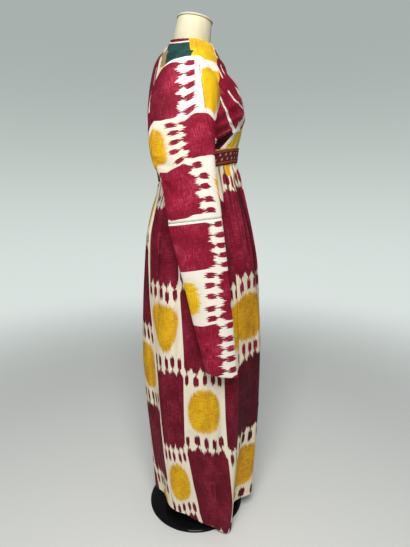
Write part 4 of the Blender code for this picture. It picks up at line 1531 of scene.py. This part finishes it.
# The woven waistband and its cords, sizes in metres
band = {
    "thickness": 0.0018,
    "lift": 0.0006,
    "bow": 0.0007,
    "wave": 0.0004,
    "repeat": 0.0205,
    "vine": 0.0068,
    "vineWidth": 0.001,
    "flower": 0.0029,
    "petal": 0.0006,
    "edgeLine": 0.0165,
    "lineInside": 0.003,
    "lineWidth": 0.0005,
    "dotRepeat": 0.005,
    "dotWidth": 0.0011,
    "soft": 0.0004,
    "columns": 241,
    "rows": 17,
    "waves": 24,
    "cordTurns": 361,
    "cordSides": 13,
    "topCord": 0.0021,
    "lowCord": 0.0013,
    "maroon": (0.24, 0.014, 0.02, 1.0),
    "maroonDeep": (0.045, 0.003, 0.006, 1.0),
    "orange": (0.52, 0.17, 0.035, 1.0),
    "white": (0.52, 0.45, 0.37, 1.0),
    "cordTop": (0.78, 0.48, 0.12, 1.0),
    "cordLow": (0.06, 0.008, 0.01, 1.0),
}


def makeBandCloth():
    # a curling vine with flowers in its bends, between two rows of dots
    material = startMaterial("wovenBand", 0.8, Specular_IOR_Level=0.25)
    coordinates = clothCoordinates(material)
    u, v = splitVector(coordinates)[:2]
    turns = u / band["repeat"]
    wave = calc("SINE", turns * (2 * math.pi))
    vine = within(abs(v - wave * band["vine"]), band["vineWidth"], band["soft"])
    halves = turns * 2.0
    sideOf = fraction(calc("FLOOR", halves) * 0.5) * 4.0 - 1.0
    flowerU = (fraction(halves) - 0.5) * (band["repeat"] / 2)
    flowerV = sideOf * (band["vine"] * 0.9) + v
    petals = calc("SINE", calc("ARCTAN2", flowerV, flowerU) * 5.0)
    away = petals * band["petal"] + farFrom(flowerU, flowerV)
    flower = within(away, band["flower"], band["soft"])
    heart = within(away, band["flower"] * 0.5, 0.0003)
    fromEdge = abs(v) - band["edgeLine"]
    line = within(abs(fromEdge + band["lineInside"]), band["lineWidth"], 0.0002)
    dotU = (fraction(u / band["dotRepeat"]) - 0.5) * band["dotRepeat"]
    dots = within(farFrom(dotU, fromEdge), band["dotWidth"], 0.0003)
    wear = noise(coordinates, (160.0, 160.0, 160.0), 3.0)
    colour = mixColours(wear, band["maroonDeep"], band["maroon"])
    colour = mixColours(vine * wear, colour, band["orange"])
    colour = mixColours(most(line, dots), colour, band["orange"])
    colour = mixColours(flower, colour, band["white"])
    give(material, "Base Color", mixColours(heart, colour, band["orange"]))
    weave = useGroup(weaveGroup, Map=coordinates, Warp=0.001, Weft=0.001)
    addBump(material, most(vine, flower, line, dots) * 1.2 + weave["Height"], 0.6, 0.0005)
    return material


def makeCordCloth(name, colour):
    material = startMaterial(name, 0.75, Specular_IOR_Level=0.25)
    coordinates = clothCoordinates(material)
    u, v = splitVector(coordinates)[:2]
    dark = tuple(part * 0.45 for part in colour[:3]) + (1.0,)
    give(material, "Base Color", mixColours(noise(coordinates, (220.0, 220.0, 220.0)), colour, dark))
    addBump(material, calc("SINE", (v * 0.35 + u) * 2600.0), 0.5, 0.0003)
    return material


# The dress form: colours, and the sizes of its neck, cap, pole and base in metres
dressForm = {
    "jersey": (0.76, 0.71, 0.5, 1.0),
    "jerseyShade": (0.64, 0.58, 0.39, 1.0),
    "cap": (0.69, 0.65, 0.47, 1.0),
    "steel": (0.56, 0.56, 0.57, 1.0),
    "gloss": (0.006, 0.006, 0.007, 1.0),
    "capRadius": 0.0485,
    "capThickness": 0.007,
    "capOverhang": 0.0022,
    "capGap": 0.0003,
    "capTilt": 8.4,
    "capCentre": (0.0, -0.003, 1.478),
    "neckLow": 1.4158,
    "neckLowCentre": 0.0085,
    "neckHalf": 0.053,
    "poleRadius": 0.0125,
    "poleLow": 0.0403,
    "poleHigh": 0.7797,
}

baseProfile = {
    "columns": ("radius", "height"),
    "rows": (
        (0.1535, 0.0),
        (0.155, 0.003),
        (0.154, 0.005),
        (0.151, 0.0072),
        (0.145, 0.0103),
        (0.125, 0.0158),
        (0.095, 0.0218),
        (0.06, 0.0268),
        (0.032, 0.0305),
        (0.026, 0.034),
        (0.0235, 0.039),
        (0.0225, 0.04),
    ),
}


def makeJersey(name, first, second):
    material = startMaterial(name, 0.85, Specular_IOR_Level=0.2)
    coordinates = objectCoordinates(material)
    cloudy = softStep(noise(coordinates, (30.0, 30.0, 12.0), 3.0), 0.3, 0.8)
    give(material, "Base Color", mixColours(cloudy, first, second))
    weave = useGroup(weaveGroup, Map=coordinates, Warp=0.0012, Weft=0.0012)
    addBump(material, weave["Height"], 0.25, 0.0004)
    return material


def makeHardFinish(name, colour, stretch, detail, rough, **settings):
    # rough is the lowest roughness and how much the noise adds
    material = startMaterial(name, rough[0] + rough[1] / 2, **settings)
    give(material, "Base Color", colour)
    give(material, "Roughness", noise(objectCoordinates(material), stretch, detail) * rough[1] + rough[0])
    return material


steel = makeHardFinish("poleSteel", dressForm["steel"], (900.0, 900.0, 6.0), 2.0, (0.2, 0.2), Metallic=1.0)
gloss = makeHardFinish(
    "baseGloss", dressForm["gloss"], (60.0, 60.0, 60.0), 4.0, (0.06, 0.12), Specular_IOR_Level=0.15
)
# of each skirt cloth: seed, squareness of its discs, and how far the yellow, the red and the lowest red each
# go towards their darker colours
skirtDyes = {
    "ikatSideRight": (2.68, 2.3, 0.6, 0.55, 0.62),
    "ikatSideLeft": (3.7, 2.4, 0.6, 0.55, 0.62),
    "ikatFrontPanel": (0.5, 3.6, 0.95, 0.25, 0.95),
    "ikatBackPanel": (5.1, 2.8, 0.8, 0.65, 0.65),
}
skirtCloths = {name: makeSkirtCloth(name, *dye) for name, dye in skirtDyes.items()}
sleeveCloth = makeSleeveCloth()
frontCloth = makeFrontCloth()
backCloths = {"Right": makeBackCloth("ikatBackRight", 0), "Left": makeBackCloth("ikatBackLeft", 4)}
print("cloth finishes made")


sides = {"Right": 1, "Left": -1}
for kind in skirtPanels:
    for label, side in sides.items():
        panel = makeSkirtPanel("skirt" + kind.title() + label, kind, side)
        dyed = "ikat" + kind.title() + (label if kind == "side" else "Panel")
        finishPiece(panel, skirtCloths[dyed], ["skirt_" + kind + "_" + label.lower()])
        print(panel.name, len(panel.data.polygons), "faces")

for label, side in sides.items():
    back, upper = "bodiceBack" + label, "sleeveUpper" + label
    pieces = (
        (makeFront("bodiceFront" + label, side), frontCloth, "bodice_front", "draped", "form_torso"),
        (makeBack(back, side), backCloths[label], "bodice_back", "draped", "form_torso"),
        (makeSleeve(upper, side, False), sleeveCloth, "sleeve_upper", "hung", back),
        (makeSleeve("sleeveLower" + label, side, True), sleeveCloth, "sleeve_lower", "hung", upper),
    )
    for piece, clothing, node, held, holder in pieces:
        finishPiece(piece, clothing, [node + "_" + label.lower()])
print("bodice and sleeves made")


# Waistband

def makeBand():
    angle = np.linspace(-180.0, 180.0, band["columns"])
    level = np.linspace(levels["bandTop"], levels["bandBottom"], band["rows"])
    levelGrid, angleGrid = np.meshgrid(level, angle, indexing="ij")
    half = (levels["bandTop"] - levels["bandBottom"]) / 2
    height = levelGrid - levels["bandMiddle"]
    out = band["lift"] + band["thickness"] + band["bow"] * (1 - (height / half) ** 2)
    out = out + band["wave"] * np.sin(np.radians(angleGrid) * band["waves"])
    points = plainRobe(angleGrid, levelGrid) + normalsOf(plainRobe, angleGrid, levelGrid) * out[..., None]
    points[:, -1] = points[:, 0]
    threadMap = np.stack((distanceAlong(points, 1), height), axis=-1)
    return clothGrid("waistbandCloth", points, threadMap, closed=True)


def makeCord(name, level, radius, out, material):
    # a twisted cord round the band's edge
    turns = np.linspace(-180.0, 180.0, band["cordTurns"])
    roundWay = np.linspace(0.0, 2 * math.pi, band["cordSides"])
    level = np.full_like(turns, level)
    normals = normalsOf(plainRobe, turns, level)
    middle = plainRobe(turns, level) + normals * out
    up = np.array((0.0, 0.0, 1.0))
    points = (
        middle[:, None]
        + normals[:, None] * (radius * np.cos(roundWay))[None, :, None]
        + up * (radius * np.sin(roundWay))[None, :, None]
    )
    points[-1] = points[0]
    points[:, -1] = points[:, 0]
    length = distanceAlong(points, 0)
    threadMap = np.stack((length, np.broadcast_to(roundWay * radius, length.shape)), axis=-1)
    piece = clothGrid(name, points, threadMap, closed=True, wall=False)
    return finishPiece(piece, material)


waistbandCloth = makeBand()
finishPiece(waistbandCloth, makeBandCloth(), ["waistband"])
topCord = makeCord(
    "waistbandTopCord",
    levels["bandTop"] - band["topCord"] * 0.3,
    band["topCord"],
    band["lift"] + band["thickness"] * 0.8,
    makeCordCloth("cordTopCloth", band["cordTop"]),
)
lowCord = makeCord(
    "waistbandLowCord",
    levels["bandBottom"] + band["lowCord"] * 0.3,
    band["lowCord"],
    band["lift"] + band["thickness"],
    makeCordCloth("cordLowCloth", band["cordLow"]),
)
print("waistband made")


# Dress form

def turnedPiece(name, rows, segments):
    # rings of a radius and a height, drawn out one after the other from a filled circle
    firstRadius, firstHeight = rows[0]
    bpy.ops.mesh.primitive_circle_add(
        vertices=segments, radius=firstRadius, fill_type="NGON", location=(0.0, 0.0, firstHeight)
    )
    piece = newest(name)
    editAll(piece)
    for (radius, height), (lastRadius, lastHeight) in zip(rows[1:], rows):
        bpy.ops.mesh.extrude_region_move(TRANSFORM_OT_translate={"value": (0.0, 0.0, height - lastHeight)})
        share = radius / lastRadius
        bpy.ops.transform.resize(value=(share, share, 1.0))
    bpy.ops.mesh.select_all(action="SELECT")
    bpy.ops.mesh.normals_make_consistent(inside=False)
    bpy.ops.object.mode_set(mode="OBJECT")
    return piece


def postPiece(name, radius, low, high, y, sides):
    bpy.ops.mesh.primitive_cylinder_add(
        vertices=sides, radius=radius, depth=high - low, location=(0.0, y, (low + high) / 2)
    )
    piece = newest(name)
    settleObject(piece)
    return piece


def roundEdges(piece, width):
    applyModifier(piece, "BEVEL", width=width, segments=2, limit_method="ANGLE")
    smoothShade(piece, 40)


jersey = makeJersey("formJersey", dressForm["jersey"], dressForm["jerseyShade"])
capPaint = makeJersey("formCapCloth", dressForm["cap"], dressForm["jerseyShade"])


def makeTorso():
    source = bpy.data.objects["form_torso"]
    piece = bpy.data.objects.new("formTorso", source.data.copy())
    bpy.context.collection.objects.link(piece)
    piece.matrix_world = source.matrix_world
    settleObject(piece)
    editAll(piece)
    bpy.ops.mesh.remove_doubles(threshold=0.00001)
    bpy.ops.mesh.tris_convert_to_quads()
    bpy.ops.object.mode_set(mode="OBJECT")
    applyModifier(piece, "SUBSURF", levels=2, render_levels=2)
    smoothShade(piece, 50)
    return finishPiece(piece, jersey, ["form_torso"])


def makeNeck():
    # a straight-sided block whose top is turned and moved to the cap's tilt
    low, high = dressForm["neckLow"], dressForm["capCentre"][2]
    centre = (0.0, dressForm["neckLowCentre"], high)
    piece = postPiece("formNeck", dressForm["neckHalf"], low, high, centre[1], 96)
    selectVerts(piece, lambda co: co.z > (low + high) / 2)
    share = (dressForm["capRadius"] - dressForm["capOverhang"]) / dressForm["neckHalf"]
    bpy.ops.transform.resize(value=(share, share, 1.0), center_override=centre)
    tilt = -math.radians(dressForm["capTilt"])
    bpy.ops.transform.rotate(value=tilt, orient_axis="X", center_override=centre)
    bpy.ops.transform.translate(value=(0.0, dressForm["capCentre"][1] - centre[1], -dressForm["capGap"]))
    bpy.ops.object.mode_set(mode="OBJECT")
    roundEdges(piece, 0.0012)
    return finishPiece(piece, jersey, ["form_neck"])


def makeCap():
    radius, thick = dressForm["capRadius"], dressForm["capThickness"]
    rows = (
        (radius - 0.001, 0.0),
        (radius - 0.0001, 0.0007),
        (radius, 0.0018),
        (radius, 0.0032),
        (radius - 0.0006, 0.0045),
        (radius - 0.002, 0.0053),
        (radius * 0.8, 0.006),
        (radius * 0.45, thick - 0.0003),
        (radius * 0.1, thick),
    )
    piece = turnedPiece("formNeckCap", rows, 96)
    selectOnly(piece)
    piece.rotation_euler = (math.radians(dressForm["capTilt"]), 0.0, 0.0)
    piece.location = dressForm["capCentre"]
    settleObject(piece)
    smoothShade(piece, 50)
    return finishPiece(piece, capPaint, ["form_neck_cap"])


def makePole():
    low, high = dressForm["poleLow"], dressForm["poleHigh"]
    piece = postPiece("formPole", dressForm["poleRadius"], low, high, 0.0, 48)
    roundEdges(piece, 0.0008)
    return finishPiece(piece, steel, ["form_pole"])


def makeBase():
    piece = turnedPiece("formBase", baseProfile["rows"], 160)
    smoothShade(piece, 60)
    return finishPiece(piece, gloss, ["form_base"])


makeTorso()
makeNeck()
makeCap()
makePole()
makeBase()
print("dress form made")


# Camera, floor, lights and room

view = {
    "place": (-1.219, -0.0305, 1.052),
    "pitch": 12.32,
    "lens": 26.98,
    "sensor": 36.0,
}
upright = math.radians(90 - view["pitch"])
bpy.ops.object.camera_add(location=view["place"], rotation=(upright, 0.0, math.radians(-90)))
camera = newest("camera")
camera.data.lens = view["lens"]
camera.data.sensor_width = view["sensor"]
bpy.context.scene.camera = camera

room = {
    "floorSize": 24.0,
    "floorSolid": 0.9,
    "floorGone": 2.8,
    "floor": (0.94, 0.95, 0.905, 1.0),
    "wallLow": (0.7, 0.755, 0.73, 1.0),
    "wallHigh": (0.395, 0.44, 0.42, 1.0),
    "skyLight": (0.92, 0.97, 1.0, 1.0),
    "groundLight": (0.55, 0.55, 0.52, 1.0),
    "skyStrength": 0.25,
    "key": (-1.58, 0.06, 2.22),
    "keyAim": (0.0, 0.0, 1.0),
    "keySize": 1.0,
    "keyPower": 43.0,
}


def makeFloorPaint():
    # solid round the object and thinning out with distance, so that no far edge shows
    material = startMaterial("floorPaint", 0.7, Specular_IOR_Level=0.2)
    give(material, "Base Color", room["floor"])
    x, y = splitVector(objectCoordinates(material))[:2]
    give(material, "Alpha", softStep(farFrom(x, y), room["floorGone"], room["floorSolid"]))
    return material


bpy.ops.mesh.primitive_plane_add(size=room["floorSize"])
floor = newest("floor")
floor.data.materials.append(makeFloorPaint())


def makeRoom():
    # the camera sees a pale wall, and the object is lit by a softer sky over a darker ground
    world = bpy.data.worlds.new("room")
    world.use_nodes = True
    tree = world.node_tree
    height = splitVector(newValue(tree, "TexCoord", {}, "Generated"))[2]
    wall = tree.nodes["Background"]
    # painted shade: the wall seen by the camera darkens from low down to high up
    feed(wall.inputs["Color"], mixColours(softStep(height, -0.25, 0.3), room["wallLow"], room["wallHigh"]))
    sky = mixColours(softStep(height, -0.3, 0.5), room["groundLight"], room["skyLight"])
    light = newValue(tree, "Background", {"Color": sky, "Strength": room["skyStrength"]})
    seen = newValue(tree, "LightPath", {}, "Is Camera Ray")
    chosen = newValue(tree, "MixShader", {0: seen, 1: light, 2: shaderValue(wall.outputs[0])})
    feed(tree.nodes["World Output"].inputs["Surface"], chosen)
    return world


bpy.context.scene.world = makeRoom()
bpy.ops.object.light_add(type="AREA", location=room["key"])
key = newest("keyLight")
key.data.size = room["keySize"]
key.data.energy = room["keyPower"]
key.rotation_euler = (Vector(room["keyAim"]) - key.location).to_track_quat("-Z", "Y").to_euler()
bpy.context.scene.view_settings.view_transform = "Standard"
print("camera, floor and lights made")
